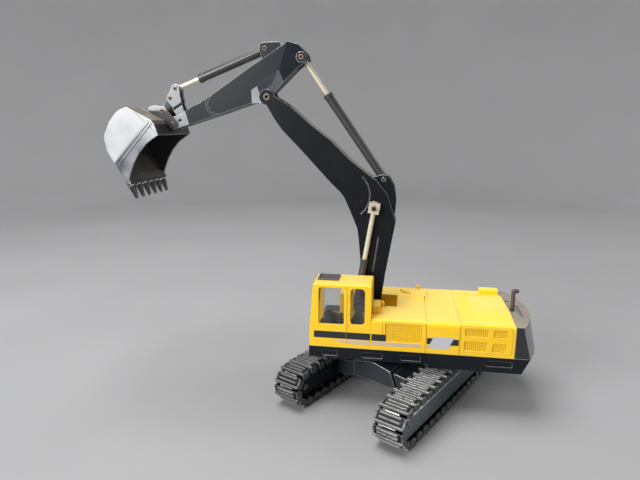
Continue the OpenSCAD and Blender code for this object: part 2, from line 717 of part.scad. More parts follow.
// ---- boom, drawn along its pin line and then stood up at its angle ----
tip_r = 4;
fork_t = 1.5;
fork_y = boom_half - fork_t;
arm_foot = [70, 37.6];
boom_rod_eye = [58.7, 27.1];
elbow_mid = [71.5, 15.5];
elbow_r = 13.6;
ear_t = 1.4;
ear_y = 2.6;
module on_boom() { translate([foot.x, 0, foot.y]) rotate([0, -boom_angle, 0]) children(); }
function boom_point(p) = foot + turn(p, boom_angle);
module boom_outline() {
  t = boom_len;
  polygon(concat(
    [[0, 4.6], [10, 8.9], [22.4, 16.9], [34.1, 25.1], [47, 34.2], [61.9, 36.1], [71.6, 33.8],
      [77.1, 30.7], [86.9, 25.8], [t - 34.5, 20.7], [t - 22.5, 14.7], [t - 9.6, 9.2],
      [t - 1.5, tip_r - 0.1]],
    [[t + 0.4, 4 - tip_r - 3.9], [t - 3.8, -2], [t - 12, -1.4], [t - 18.7, -0.2], [t - 31.8, 4.2],
      [80.9, 11.2], [73.8, 13.8], [70.5, 14.6], [62.3, 14.4], [52.3, 13.9], [47, 12.3], [37, 8.6],
      [22, 2], [10, -3.4], [0, -4.6]]));
  circle(r = 4.6);
  translate([t, 0]) circle(r = tip_r);
}
module boom() {
  color(navy) on_boom() difference() {
    union() {
      side(-boom_half, boom_half) boom_outline();
      both_sides(ear_y, ear_y + ear_t) {
        strap(arm_foot + [-1, 0.4], 3, arm_foot + [-12, -3.4], 1.5);
        polygon([[50, 33.8], [51.4, 35.8], [57.4, 39.2], [64.4, 41.3], [69.7, 40.9], [72.5, 38.4],
          [73.9, 31.4]]);
      }
      both_sides(boom_half, boom_half + 0.15) translate(boom_rod_eye) circle(r = 3.2);
    }
    both_sides(boom_half - 0.2, boom_half + 0.1) translate(elbow_mid) difference() {
      circle(r = elbow_r);
      circle(r = elbow_r - 0.5);
      rotate(-110) square(2 * elbow_r);
      rotate(-20) square(2 * elbow_r);
      rotate(165) square(2 * elbow_r);
    }
    both_sides(boom_half - 0.2, boom_half + 0.1)
      polygon([[43, 21.9], [27, 11.4], [27, 11.9], [43, 22.4]]);
    side(-fork_y, fork_y) {
      translate([boom_len, 0]) circle(r = 7.4);
      translate([boom_len - 1, -8]) square([12, 20]);
      polygon([[boom_len - 9, 2], [boom_len, -8], [boom_len + 4, 12], [boom_len - 9, 12]]);
    }
    y_rod([0, 0], boom_pin_r + run_clear, -boom_w, boom_w);
    y_rod([boom_len, 0], boom_pin_r, -boom_w, boom_w);
    y_rod(arm_foot, cyl_pin_r, -boom_w, boom_w);
  }
}
module boom_tip_pin() {
  color(bronze) on_boom() hollow_pin([boom_len, 0], boom_pin_r, -boom_half - 0.4, boom_half + 0.4);
}
module arm_cylinder_pin() {
  color(bronze) on_boom() hollow_pin(arm_foot, cyl_pin_r, -ear_y - ear_t - 0.2, ear_y + ear_t + 0.2);
}

// ---- arm, drawn along its pin line ----
arm_root = boom_point([boom_len, 0]);
arm_half = arm_w / 2;
web_y = fork_y - side_gap;
arm_rod_eye = [-22.9, 14.3];
bucket_cyl_foot = [-5.3, 23.8];
rocker_foot = [arm_len - 4.2, 1];
tip_half = arm_half - 0.8;
tip_fork_y = 3;
arm_tip_r = 2.8;
module on_arm() { translate([arm_root.x, 0, arm_root.y]) rotate([0, -arm_angle, 0]) children(); }
function arm_point(p) = arm_root + turn(p, arm_angle);
module arm_outline() {
  a = arm_len;
  polygon([[a - 17.7, 6.8], [28.1, 9.2], [4.5, 16.8], [-2.8, 18.9], [-16.6, 23], [-17.8, 23.7],
    [-23, 20.7], [-26.2, 15.6], [-26.4, 12.2], [-19.4, 9.6], [-11.8, 5.6], [-3.4, 0.6], [0, -3],
    [9.6, -0.8], [24.4, -1.6], [a - 18.6, -2.2], [a - 0.7, -arm_tip_r + 0.1], [a, arm_tip_r],
    [a - 5.7, rocker_foot.y + 3.2], [a - 9.7, 5.2], [a - 13.9, 6.4]]);
  translate([a, 0]) circle(r = arm_tip_r);
  circle(r = 3.4);
}
// Everything outside a plane that leaves a side face at the line p-q and leans inward on its right
module lean_cut(p, q, lean) {
  translate([p.x, arm_half, p.y]) rotate([0, -heading(p, q), 0]) rotate([-lean, 0, 0])
    translate([-60, 0, -60]) cube([120, 60, 120]);
}
// The hollow beside the boom's fork, with three leaning walls
module fork_hollow() {
  depth = arm_half - web_y;
  intersection() {
    box(-30, 12, web_y, arm_half + 1, -8, 14);
    lean_cut([7.2, 5.6], [8.7, -0.6], atan(depth / 4));
    lean_cut([-10.1, 11.2], [7.2, 5.6], atan(depth / 3.6));
    lean_cut([-11.8, 5.6], [-10.1, 11.2], atan(depth / 7.4));
  }
}
module arm_panel(inset) {
  nose = [27.5, 3.6];
  polygon(concat([[-6, 22], [-6, -6], [nose.x, nose.y - 5.2 + inset]],
    arc(nose, 5.2 - inset, -70, 70, 10), [[nose.x, nose.y + 8]]));
}
module arm() {
  slot_y = 2.3;
  step = (arm_half - tip_half) / 2;
  color(navy) on_arm() difference() {
    union() {
      difference() {
        side(-arm_half, arm_half) arm_outline();
        for (s = [-1, 1]) scale([1, s, 1]) {
          fork_hollow();
          lean_cut([-16.9, 21.9], [-10.1, 11.2], 6);
          side(arm_half - step, arm_half + 1) difference() {
            translate([20, -8]) square([arm_len, 24]);
            arm_panel(0);
          }
          side(arm_half - 2 * step, arm_half + 1) difference() {
            translate([22, -8]) square([arm_len, 24]);
            arm_panel(-1.3);
          }
        }
      }
      both_sides(tip_half - eps, tip_half + 0.15) translate([arm_len, 0])
        polygon([[-0.3, 3.8], [-6.1, 3.8], [-7.7, 2], [-6.7, -1.8], [-0.7, -1.7], [1.4, -0.2], [1.2, 1.9]]);
      both_sides(arm_half - 3, arm_half) translate(arm_rod_eye) circle(r = 2.6);
      both_sides(ear_y, ear_y + ear_t)
        polygon([[-14.6, 22], [-13.5, 24.8], [-9.9, 25.8], [-5.6, 26.8], [-3.4, 26.4], [-2.4, 24],
          [-2.6, 18]]);
    }
    side(-slot_y, slot_y) {
      translate(arm_rod_eye) circle(r = 5.6);
      polygon([arm_rod_eye + [-8, 4], arm_rod_eye + [3, 4.6], arm_rod_eye + [5.6, 0],
        arm_rod_eye + [3.6, -7], arm_rod_eye + [-8, -7]]);
    }
    side(-tip_fork_y, tip_fork_y) translate([arm_len, 0]) {
      circle(r = arm_tip_r + 1);
      polygon([[-10, -8], [0, -8], [6, 14], [-10, 14]]);
    }
    y_rod([0, 0], boom_pin_r + run_clear, -arm_w, arm_w);
    y_rod([arm_len, 0], link_pin_r + run_clear, -arm_w, arm_w);
    y_rod(rocker_foot, link_pin_r + run_clear, -arm_w, arm_w);
    y_rod(arm_rod_eye, cyl_pin_r, -arm_w, arm_w);
    y_rod(bucket_cyl_foot, cyl_pin_r, -arm_w, arm_w);
  }
}
module arm_pins() {
  color(bronze) on_arm() {
    hollow_pin(bucket_cyl_foot, cyl_pin_r, -ear_y - ear_t - 0.2, ear_y + ear_t + 0.2);
    for (s = [-1, 1]) scale([1, s, 1]) difference() {
      y_rod(arm_rod_eye, cyl_pin_r, 2.3, arm_half + 0.2);
      y_rod(arm_rod_eye, cyl_pin_r * 0.5, arm_half - 0.8, arm_half + 1);
    }
  }
}

// ---- linkage and bucket ----
ear_in = tip_half + side_gap;
ear_out = ear_in + 1.1;
rocker_in = rod_r + side_gap;
rocker_out = rocker_in + 1.1;
link_y = tip_half - 0.2;
rocker_head = [arm_len - 5.9, 17.9];
rocker_mid = [arm_len - 1.6, 13.8];
bucket_root = arm_point([arm_len, 0]);
bucket_link_pin = [5.7, 7.1];
module on_bucket() { translate([bucket_root.x, 0, bucket_root.y]) children(); }
rod_eye = arm_point(rocker_head);
link_top = arm_point(rocker_mid);
link_end = bucket_root + bucket_link_pin;

module rocker_plates() {
  color(steel) on_arm() difference() {
    both_sides(rocker_in, rocker_out) difference() {
      union() {
        translate(rocker_head) circle(r = 2.4);
        translate(rocker_mid) circle(r = 2.3);
        translate([arm_len, 0]) polygon([[-8.2, 18.9], [-8.3, 17.8], [-7.4, 13.6], [-7.2, 10], [-6.9, 8.7],
          [-7.3, 4.9], [-6.4, 1], [-4.2, -1.3], [-2.4, 0.4], [-2.4, 3.6], [-1.2, 7.5], [-1.5, 8.3],
          [0.5, 12.8], [-0.9, 15.8], [-4.8, 20]]);
      }
      for (p = [rocker_foot, rocker_head, rocker_mid]) translate(p) circle(r = link_pin_r);
    }
    both_sides(rocker_out - 0.8, rocker_out + 1) translate([arm_len, 0])
      polygon([[0.5, 8], [-8.5, 10.6], [-8.5, 9], [0.5, 6.4]]);
  }
}
module rocker_pins() {
  color(bronze) on_arm() {
    hollow_pin(rocker_foot, link_pin_r, -tip_half - 0.25, tip_half + 0.25);
    hollow_pin(rocker_mid, link_pin_r, -rocker_out - 0.2, rocker_out + 0.2);
    for (s = [-1, 1]) scale([1, s, 1]) difference() {
      y_rod(rocker_head, link_pin_r, rocker_in - 0.1, rocker_out + 0.2);
      y_rod(rocker_head, link_pin_r * 0.5, rocker_out - 0.7, rocker_out + 1);
    }
  }
}
module coupling_link() {
  eye_r = 1.8;
  color(steel) difference() {
    union() {
      side(-rod_r, rod_r) strap(link_top, eye_r, link_end, eye_r);
      y_rod(link_end, eye_r, -link_y, link_y);
    }
    y_rod(link_top, link_pin_r + run_clear, -arm_w, arm_w);
    for (s = [-1, 1]) scale([1, s, 1]) y_rod(link_end, link_pin_r * 0.5, link_y - 1, link_y + 1);
  }
}
module bucket_profile() {
  polygon([[20.7, -31.7], [26.2, -22.4], [28.6, -18.2], [31.1, -13.5], [32, -8.3], [31.9, -6], [31.3, -4.6],
    [28.5, 1], [24.6, 5.6], [21.5, 7.6], [18.1, 8.6], [4.8, 2], [3.3, 0], [1.5, -5.6], [5, -7.7],
    [8.6, -10.2], [12.9, -14.9], [16.2, -20.2], [18.3, -25]]);
}
module bucket_hollow() {
  t = bucket_t;
  polygon([[20.7 - t, -31.1], [26.2 - t, -21.8], [28.6 - t, -17.8], [31.1 - t, -13.3],
    [32 - t, -8.3], [31.9 - t, -6], [31.3 - t, -4.6 - 0.4], [28.5 - t, 1 - 0.7], [24.6 - 0.8, 5.6 - t],
    [21.5 - 0.5, 7.6 - t], [18.1, 8.6 - t - 0.1], [5.4, 2 - t], [4.7, 0 - 0.4], [2.8, -5.6],
    [-4, -7], [10, -40]]);
}
module bucket_shell() {
  half = bucket_w / 2;
  color("#3a3d44") on_bucket() difference() {
    union() {
      difference() {
        side(-half, half) bucket_profile();
        side(-half + bucket_t, half - bucket_t) bucket_hollow();
        both_sides(half - 0.2, half + 1)
          polygon([[14.1, 6.1], [13.6, 6.6], [1.8, -4.8], [2.3, -5.3]]);
      }
      both_sides(ear_in, ear_out - 0.6)
        polygon([[4, 8], [8.9, 9.6], [13, 9], [14.8, 6.6], [10.4, 4.3], [5.2, 1.9], [3.2, -0.2], [0, 0]]);
      both_sides(ear_in, ear_out) {
        faceted_strap([0, 0], 2.3, bucket_link_pin, 2.2);
        polygon([[4, 8.2], [6.4, 9.4], [9.5, 9.9], [12.2, 9.6], [14, 8.6], [13.3, 7.8], [10.1, 5.9],
          [6.8, 4.2], [4.5, 5]]);
      }
      for (s = [-1, 1]) scale([1, s, 1]) side(half - eps, half + 0.4) {
        bar_2d([5, 0.5], [25.6, -22], 0.5);
        bar_2d([6.2, 1.3], [26.4, -20], 0.5);
      }
      side(-half, half) strap([19.6, -30.9], 0.9, [21.4, -28.2], 0.9);
    }
    y_rod([0, 0], link_pin_r, -half, half);
    y_rod(bucket_link_pin, link_pin_r, -half, half);
  }
}
module bucket_teeth() {
  margin = 2;
  pitch = (bucket_w - tooth_w - 2 * margin) / (tooth_count - 1);
  lip = [20.2, -31.6];
  way = heading([20.2, -31.6], [17.7, -38.9]);
  half = tooth_w / 2;
  color("#4a4e55") on_bucket() for (i = [0:tooth_count - 1]) {
    y = -bucket_w / 2 + margin + half + i * pitch;
    translate([lip.x, y, lip.y]) rotate([0, -way, 0]) intersection() {
      side(-half, half) {
        polygon([[-1.8, 2.4], [2.6, 1.5], [tooth_len - 0.3, 0.6], [tooth_len, 0.3], [tooth_len, -0.3],
          [tooth_len - 0.3, -0.6], [2.6, -1.4], [0.9, -1.5], [0.9, 1.3], [-1.8, 1.3]]);
      }
      translate([0, 0, -3]) linear_extrude(6)
        polygon([[-2, -half], [1.6, -half], [tooth_len - 0.6, -0.65], [tooth_len, -0.2], [tooth_len, 0.2],
          [tooth_len - 0.6, 0.65], [1.6, half], [-2, half]]);
    }
  }
}
module bucket_pins() {
  color(bronze) on_bucket() {
    y_rod([0, 0], link_pin_r, -ear_out - 0.1, ear_out + 0.1);
    for (s = [-1, 1]) scale([1, s, 1]) difference() {
      y_rod(bucket_link_pin, link_pin_r, ear_in - 0.1, ear_out + 0.4);
      y_rod(bucket_link_pin, link_pin_r * 0.5, ear_out - 0.5, ear_out + 1);
    }
  }
}

// ---- hydraulic cylinders, each drawn along X from its foot pin ----
module on_line(p, q, y) {
  translate([p.x, y, p.y]) rotate([0, -heading(p, q), 0]) children();
}
module x_rod(r, x0, x1) {
  translate([x0, 0, 0]) rotate([0, 90, 0]) cylinder(r = r, h = x1 - x0);
}
module barrel(r, len, eye_r, eye_half, pin_r) {
  difference() {
    union() {
      x_rod(r, eye_r * 0.6, len);
      x_rod(r + 0.25, len - 2.4, len - 0.4);
      y_rod([0, 0], eye_r, -eye_half, eye_half);
    }
    x_rod(rod_r + run_clear, eye_r + 1.6, len + 1);
    y_rod([0, 0], pin_r + run_clear, -eye_half - 1, eye_half + 1);
  }
}
// A rod whose eye lies at reach from the foot pin, with a bush in the eye
module piston_rod(reach, inner, eye_r, eye_half, square_eye) {
  difference() {
    union() {
      x_rod(rod_r, inner, reach - eye_r * 0.7);
      if (square_eye) box(reach - eye_r, reach + eye_r, -eye_half, eye_half, -eye_r, eye_r);
      else y_rod([reach, 0], eye_r, -eye_half, eye_half);
    }
    y_rod([reach, 0], eye_r * 0.5, eye_half - 1.1, eye_half + 1);
  }
}
boom_eye = boom_point(boom_rod_eye);
arm_cyl_foot = boom_point(arm_foot);
arm_cyl_head = arm_point(arm_rod_eye);
buc_foot = arm_point(bucket_cyl_foot);
boom_reach = norm(boom_eye - cyl_foot);
arm_reach = norm(arm_cyl_head - arm_cyl_foot);
bucket_reach = norm(rod_eye - buc_foot);
boom_barrel_len = 42.3;
arm_barrel_len = 53.5;
bucket_barrel_len = 40.3;

module boom_barrel(s) {
  color(gunmetal) on_line(cyl_foot, boom_eye, s * cyl_y) {
    difference() {
      union() {
        x_rod(boom_barrel_r, 1.3, boom_barrel_len);
        y_rod([0, 0], 2.3, -boom_barrel_r, boom_barrel_r);
      }
      x_rod(rod_r + run_clear, 4, boom_barrel_len + 1);
      y_rod([0, 0], cyl_pin_r + run_clear, -boom_barrel_r - 1, boom_barrel_r + 1);
    }
  }
}
module boom_rod(s) {
  color("wheat") on_line(cyl_foot, boom_eye, s * cyl_y) scale([1, s, 1])
    piston_rod(boom_reach, 21.5, 2.9, boom_barrel_r, true);
}
module arm_cylinder_barrel() {
  color(gunmetal) on_line(arm_cyl_foot, arm_cyl_head, 0)
    barrel(barrel_r, arm_barrel_len, 2.6, 2.4, cyl_pin_r);
}
module arm_cylinder_rod() {
  color("wheat") on_line(arm_cyl_foot, arm_cyl_head, 0) piston_rod(arm_reach, 17, 2.2, 2, false);
}
module bucket_cylinder_barrel() {
  color(gunmetal) on_line(buc_foot, rod_eye, 0) barrel(barrel_r, bucket_barrel_len, 2.6, 2.4, cyl_pin_r);
}
module bucket_cylinder_rod() {
  color("wheat") on_line(buc_foot, rod_eye, 0) piston_rod(bucket_reach, 13, 1.9, rod_r, false);
}

carbody();
slew_ring();
track_frame(1);  // left_track_frame
track_frame(-1);  // right_track_frame
frame_cover(1);  // left_frame_cover
frame_cover(-1);  // right_frame_cover
track_shoes(1);  // left_track_shoes
track_shoes(-1);  // right_track_shoes
track_pins(1);  // left_track_pins
track_pins(-1);  // right_track_pins
track_rollers();
wheel_axles();
frame_screws();
idler(1);  // left_idler
idler(-1);  // right_idler
sprocket(1);  // left_sprocket
sprocket(-1);  // right_sprocket
deck();
slew_pivot();
engine_hood();
side_door(door_front, door_z_front, 1, grille_front);  // left_front_door
side_door(door_rear, door_z, 1, grille_rear);  // left_rear_door
side_door(door_front, door_z_front, -1, grille_front);  // right_front_door
side_door(door_rear, door_z, -1, grille_rear);  // right_rear_door
step_block();
air_filter_box();
filler_caps();
exhaust_pipe();
counterweight();
right_tank_housing();
right_tool_box();
cab_shell();
cab_glazing();
roof_hatch();
cab_floor();
operator_seat();
side_consoles();
control_levers();
boom_foot_pin();
cylinder_foot_pins();
boom();
boom_tip_pin();
arm_cylinder_pin();
boom_barrel(1);  // left_boom_barrel
boom_barrel(-1);  // right_boom_barrel
boom_rod(1);  // left_boom_rod
boom_rod(-1);  // right_boom_rod
arm_cylinder_barrel();
arm_cylinder_rod();
bucket_cylinder_barrel();
bucket_cylinder_rod();
arm();
arm_pins();
rocker_plates();
rocker_pins();
coupling_link();
bucket_shell();
bucket_teeth();
bucket_pins();
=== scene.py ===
import math

import bmesh
import bpy
from mathutils import Matrix, Vector


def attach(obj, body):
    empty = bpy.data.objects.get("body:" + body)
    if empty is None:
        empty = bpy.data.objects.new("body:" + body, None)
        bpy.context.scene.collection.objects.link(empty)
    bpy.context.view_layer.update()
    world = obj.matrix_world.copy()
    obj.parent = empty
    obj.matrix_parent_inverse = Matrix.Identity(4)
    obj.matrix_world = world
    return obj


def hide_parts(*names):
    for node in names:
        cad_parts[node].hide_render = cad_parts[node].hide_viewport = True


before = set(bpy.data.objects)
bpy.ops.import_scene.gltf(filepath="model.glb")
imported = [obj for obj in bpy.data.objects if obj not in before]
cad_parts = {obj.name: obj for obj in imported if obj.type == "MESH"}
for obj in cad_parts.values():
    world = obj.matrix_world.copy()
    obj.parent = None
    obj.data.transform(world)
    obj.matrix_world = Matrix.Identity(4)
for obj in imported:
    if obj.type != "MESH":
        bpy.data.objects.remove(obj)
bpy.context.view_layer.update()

mm = 0.001

# ---- studio ----
# A round floor of matt grey card that curves up into a wall, under soft light: a big box
# overhead, a box to the machine's left that its flat metal plates mirror, and a weak fill
# behind the counterweight.


class Wire:
    """A socket of a node tree. Arithmetic on wires adds Math nodes."""

    def __init__(self, tree, socket):
        self.tree = tree
        self.socket = socket

    def math(self, operation, a, b=None):
        inputs = {0: a} if b is None else {0: a, 1: b}
        return node(self.tree, "ShaderNodeMath", {"operation": operation}, inputs)

    def __add__(self, other):
        return self.math("ADD", self, other)

    def __sub__(self, other):
        return self.math("SUBTRACT", self, other)

    def __rsub__(self, other):
        return self.math("SUBTRACT", other, self)

    def __mul__(self, other):
        return self.math("MULTIPLY", self, other)

    def __gt__(self, other):
        return self.math("GREATER_THAN", self, other)

    def __lt__(self, other):
        return self.math("LESS_THAN", self, other)

    def clamp(self):
        return node(self.tree, "ShaderNodeClamp", {}, {0: self})


def node(tree, kind, settings=None, inputs=None, out=0):
    """Adds a node, sets its settings and then its inputs, and returns one output as a Wire."""
    made = tree.nodes.new(kind)
    for key, value in (settings or {}).items():
        setattr(made, key, value)
    for key, value in (inputs or {}).items():
        if isinstance(value, Wire):
            tree.links.new(value.socket, made.inputs[key])
        else:
            made.inputs[key].default_value = value
    return Wire(tree, made.outputs[out])


def mixed(tree, mask, low, high):
    """A colour that goes from low to high with the mask."""
    low, high = ((*tone, 1) if isinstance(tone, tuple) else tone for tone in (low, high))
    return node(tree, "ShaderNodeMix", {"data_type": "RGBA"}, {0: mask, 6: low, 7: high}, 2)


def blank_material(name):
    """A new material and its empty tree."""
    material = bpy.data.materials.new(name)
    material.use_nodes = True
    material.node_tree.nodes.clear()
    return material, material.node_tree


def shade(tree, fixed, **varying):
    """Ends a material: fixed numbers sit on the shader, wires feed it."""
    shader = tree.nodes.new("ShaderNodeBsdfPrincipled")
    for key, value in fixed.items():
        shader.inputs[key].default_value = value
    for key, value in varying.items():
        tree.links.new(value.socket, shader.inputs[key.replace("_", " ")])
    output = tree.nodes.new("ShaderNodeOutputMaterial")
    tree.links.new(shader.outputs[0], output.inputs[0])


eye = Vector((-1.765, 273.52, 146.41)) * mm
azimuth, elevation, roll = math.radians(9.16), math.radians(12.67), math.radians(-0.03)
ahead = Vector((math.sin(azimuth) * math.cos(elevation), -math.cos(azimuth) * math.cos(elevation),
                -math.sin(elevation)))
camera = bpy.data.objects.new("camera", bpy.data.cameras.new("camera"))
camera.data.sensor_width = 36
camera.data.lens = 28.52
camera.data.clip_start = 0.01
camera.location = eye
level = ahead.to_track_quat("-Z", "Y").to_matrix()
camera.rotation_euler = (level @ Matrix.Rotation(roll, 3, "Z")).to_euler()
bpy.context.scene.collection.objects.link(camera)
bpy.context.scene.camera = camera
bpy.context.scene.view_settings.view_transform = "Standard"
bpy.context.scene.view_settings.look = "None"

flat_reach, cove, wall_top, turns, cove_steps = 0.75, 0.4, 1.1, 96, 15
profile = [(0.02, 0.0), (0.3, 0.0), (flat_reach, 0.0)]
for step in range(1, cove_steps + 1):
    bend = math.radians(90) * step / cove_steps
    profile.append((flat_reach + cove * math.sin(bend), cove * (1 - math.cos(bend))))
profile.append((flat_reach + cove, wall_top))
spots = [(r * math.cos(math.tau * turn / turns), r * math.sin(math.tau * turn / turns), z)
         for r, z in profile for turn in range(turns)]
faces = []
for ring in range(len(profile) - 1):
    for turn in range(turns):
        inner, outer, beside = ring * turns, (ring + 1) * turns, (turn + 1) % turns
        faces.append((inner + turn, inner + beside, outer + beside, outer + turn))
faces.append(tuple(reversed(range(turns))))
floor_mesh = bpy.data.meshes.new("floor")
floor_mesh.from_pydata(spots, [], faces)
floor_mesh.polygons.foreach_set("use_smooth", [True] * len(faces))
floor = bpy.data.objects.new("floor", floor_mesh)
bpy.context.scene.collection.objects.link(floor)
floor_material, tree = blank_material("pale_sweep")
place = node(tree, "ShaderNodeTexCoord", out="Object")
mottle = node(tree, "ShaderNodeTexNoise", {}, {"Vector": place, "Scale": 9.0, "Detail": 4.0})
shade(tree, {"Specular IOR Level": 0.2},
      Base_Color=mixed(tree, mottle, (0.30, 0.30, 0.305), (0.34, 0.34, 0.345)), Roughness=mottle * 0.2 + 0.6)
floor_mesh.materials.append(floor_material)

world = bpy.context.scene.world or bpy.data.worlds.new("studio")
bpy.context.scene.world = world
world.use_nodes = True
world.node_tree.nodes["Background"].inputs[0].default_value = (0.60, 0.60, 0.61, 1)
world.node_tree.nodes["Background"].inputs[1].default_value = 0.45


def softbox(name, spot, target, width, height, watts):
    """A rectangular light at the spot, turned to the target."""
    data = bpy.data.lights.new(name, "AREA")
    data.shape = "RECTANGLE"
    data.size, data.size_y, data.energy = width, height, watts
    lamp = bpy.data.objects.new(name, data)
    lamp.location = spot
    lamp.rotation_euler = (Vector(target) - Vector(spot)).to_track_quat("-Z", "Y").to_euler()
    bpy.context.scene.collection.objects.link(lamp)


softbox("overhead_box", (0.25, 0.05, 0.95), (0.0, 0.0, 0.05), 0.7, 0.6, 9.5)
softbox("side_box", (0.66, 0.85, 0.42), (0.12, 0.0, 0.12), 0.55, 0.65, 15.0)
softbox("back_fill", (-0.9, -0.4, 0.6), (-0.05, 0.0, 0.06), 0.5, 0.5, 3.0)


# ---- castings of the undercarriage, and the deck ----
# The carbody, the two track frames, their outer covers and the deck that swings on them are
# die-cast and painted slate grey. Along their edges the paint has rubbed off to bare metal; on the
# carbody this band is wide and pale, partly as a painted highlight, and the covers' tops are painted
# near white as a highlight.


def worn_paint(name, colour, bare, roughness, edge=0.35, wear=3.2, metallic=0.0, shine=0.3, dust=0.0,
               polished=None):
    """Paint on metal: edges (mm wide) rubbed bright, a few nicks, soft stains, a tan painted highlight on
    what faces up (set by dust),
    and a place of painted light or shade: a function giving its mask and tone from x, |y|, z and the stains."""
    material, tree = blank_material(name)
    place = node(tree, "ShaderNodeTexCoord", out="Object")
    broad = node(tree, "ShaderNodeTexNoise", {}, {"Vector": place, "Scale": 90.0, "Detail": 5.0})
    fine = node(tree, "ShaderNodeTexNoise", {}, {"Vector": place, "Scale": 1400.0, "Detail": 3.0})
    bent = node(tree, "ShaderNodeVectorMath", {"operation": "MULTIPLY_ADD"},
                {0: node(tree, "ShaderNodeTexNoise", {}, {"Vector": place, "Scale": 60.0}, 1),
                 1: (0.02, 0.02, 0.02), 2: place})
    slanted = node(tree, "ShaderNodeMapping", {}, {"Vector": bent, "Scale": (2200.0, 500.0, 260.0),
                                                   "Rotation": (0.2, 0.6, 0.3)})
    nicks = ((node(tree, "ShaderNodeTexNoise", {}, {"Vector": slanted, "Scale": 1.0, "Detail": 4.0}) - 0.70)
             * 9.0).clamp()
    rounded = node(tree, "ShaderNodeBevel", {"samples": 6}, {0: edge * mm})
    flat = node(tree, "ShaderNodeNewGeometry", out="Normal")
    facing = node(tree, "ShaderNodeVectorMath", {"operation": "DOT_PRODUCT"}, {0: rounded, 1: flat}, 1)
    turned = (1 - facing).clamp().math("SQRT", (1 - facing).clamp())
    rubbed = ((turned * wear - 0.35) * (broad * 1.6 + 0.2)).clamp()
    mask = (rubbed + nicks * 0.4).clamp()
    toned = mixed(tree, broad, tuple(c * 0.85 for c in colour), tuple(c * 1.15 for c in colour))
    metal = mask * 0.7 + metallic
    # Painted light: with dust, what faces up is mixed towards tan, a painted highlight of the warm light that
    # the tops catch.
    if dust:
        up = node(tree, "ShaderNodeSeparateXYZ", {}, {0: node(tree, "ShaderNodeTexCoord", out="Normal")}, 2)
        painted_top_light = (((up - 0.45) * 3.0).clamp() * (broad * 0.7 + 0.35) * dust).clamp()
        toned = mixed(tree, painted_top_light, toned, (0.34, 0.29, 0.23))
    # Painted light: the place given here takes the tone it returns, as a painted highlight, reflection or
    # shade.
    if polished:
        split = [node(tree, "ShaderNodeSeparateXYZ", {}, {0: place}, axis) for axis in range(3)]
        shown, tone = polished(tree, split[0], split[1].math("ABSOLUTE", split[1]), split[2], broad)
        toned = mixed(tree, shown, toned, tone)
        metal = metal + shown * 0.25
    bump = node(tree, "ShaderNodeBump", {}, {"Strength": 0.06, "Distance": 0.2 * mm, "Height": fine,
                                            "Normal": rounded})
    shade(tree, {"Specular IOR Level": shine},
          Base_Color=mixed(tree, mask, toned, bare), Metallic=metal.clamp(),
          Roughness=(broad * 0.2 + nicks * 0.2 + (roughness - 0.1)).clamp(), Normal=bump)
    return material


def dress(material, *names):
    """Puts a material on the solids with these names."""
    for name in names:
        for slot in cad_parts[name].material_slots:
            slot.material = material


slate = worn_paint("slate_paint", (0.0075, 0.0095, 0.013), (0.34, 0.36, 0.38), 0.42, wear=2.4, shine=0.18)
dress(slate, "left_track_frame", "right_track_frame", "deck")
# Partly wear, partly painted highlight: the carbody's rubbed edge band is strong and pale, so its edges show
# bright as lit edges.
arch_slate = worn_paint("carbody_paint", (0.022, 0.028, 0.036), (0.78, 0.80, 0.82), 0.36, wear=5.5, shine=0.5)
dress(arch_slate, "carbody")

# Painted highlight: from this height (mm) up, the covers are painted near white.
highlight_from = 14.7


def cover_top_highlight(tree, x, y, z, stain):
    """The top of a track frame's cover, painted near white as a highlight of the light along it."""
    top = ((z - highlight_from * mm) * 3000.0).clamp()
    return top * (stain * 0.6 + 0.65).clamp(), (0.90, 0.94, 0.96)


cover_slate = worn_paint("cover_paint", (0.070, 0.105, 0.120), (0.80, 0.82, 0.84), 0.34, wear=5.0, shine=0.6,
                         polished=cover_top_highlight)
dress(cover_slate, "left_frame_cover", "right_frame_cover")

# ---- pins, screws and rollers ----
# The track pins, rollers, frame screws and slew stud are turned steel. The hinge pins and
# the wheels' axles are bronzed rivets.
bright_steel = worn_paint("turned_steel", (0.42, 0.42, 0.41), (0.75, 0.74, 0.72), 0.30, metallic=0.9)
dress(bright_steel, "left_track_pins", "right_track_pins", "track_rollers", "frame_screws", "slew_pivot")
bronze = worn_paint("bronzed_rivet", (0.16, 0.118, 0.090), (0.55, 0.47, 0.40), 0.34, metallic=0.6)
dress(bronze, "wheel_axles", "boom_foot_pin", "cylinder_foot_pins", "boom_tip_pin", "arm_cylinder_pin",
      "arm_pins", "rocker_pins", "bucket_pins")

# ---- slew ring and chain wheels ----
# The ring under the deck, the idlers and the sprockets are cast and blackened, and keep
# only a dull shine.
gunmetal = worn_paint("gunmetal", (0.007, 0.007, 0.0072), (0.30, 0.30, 0.295), 0.45, metallic=0.1, wear=2.2,
                      shine=0.2)
dress(gunmetal, "slew_ring", "left_idler", "right_idler", "left_sprocket", "right_sprocket")


# ---- track chains ----
# 37 die-cast shoes a side, hinged on steel pins: a plate with one full-width rib and two
# short ones, end lugs and two link rails. Ribs and lugs are a lighter grey, partly rubbed and partly
# a painted highlight; the plate, webs and rails are near black, partly as painted shade in the hollows.
track_yaw = math.radians(61.7)
wheel_reach, wheel_height, track_middle = 49.1, 10.95, 30.55
pitch_radius, shoe_count = 8.6, 37


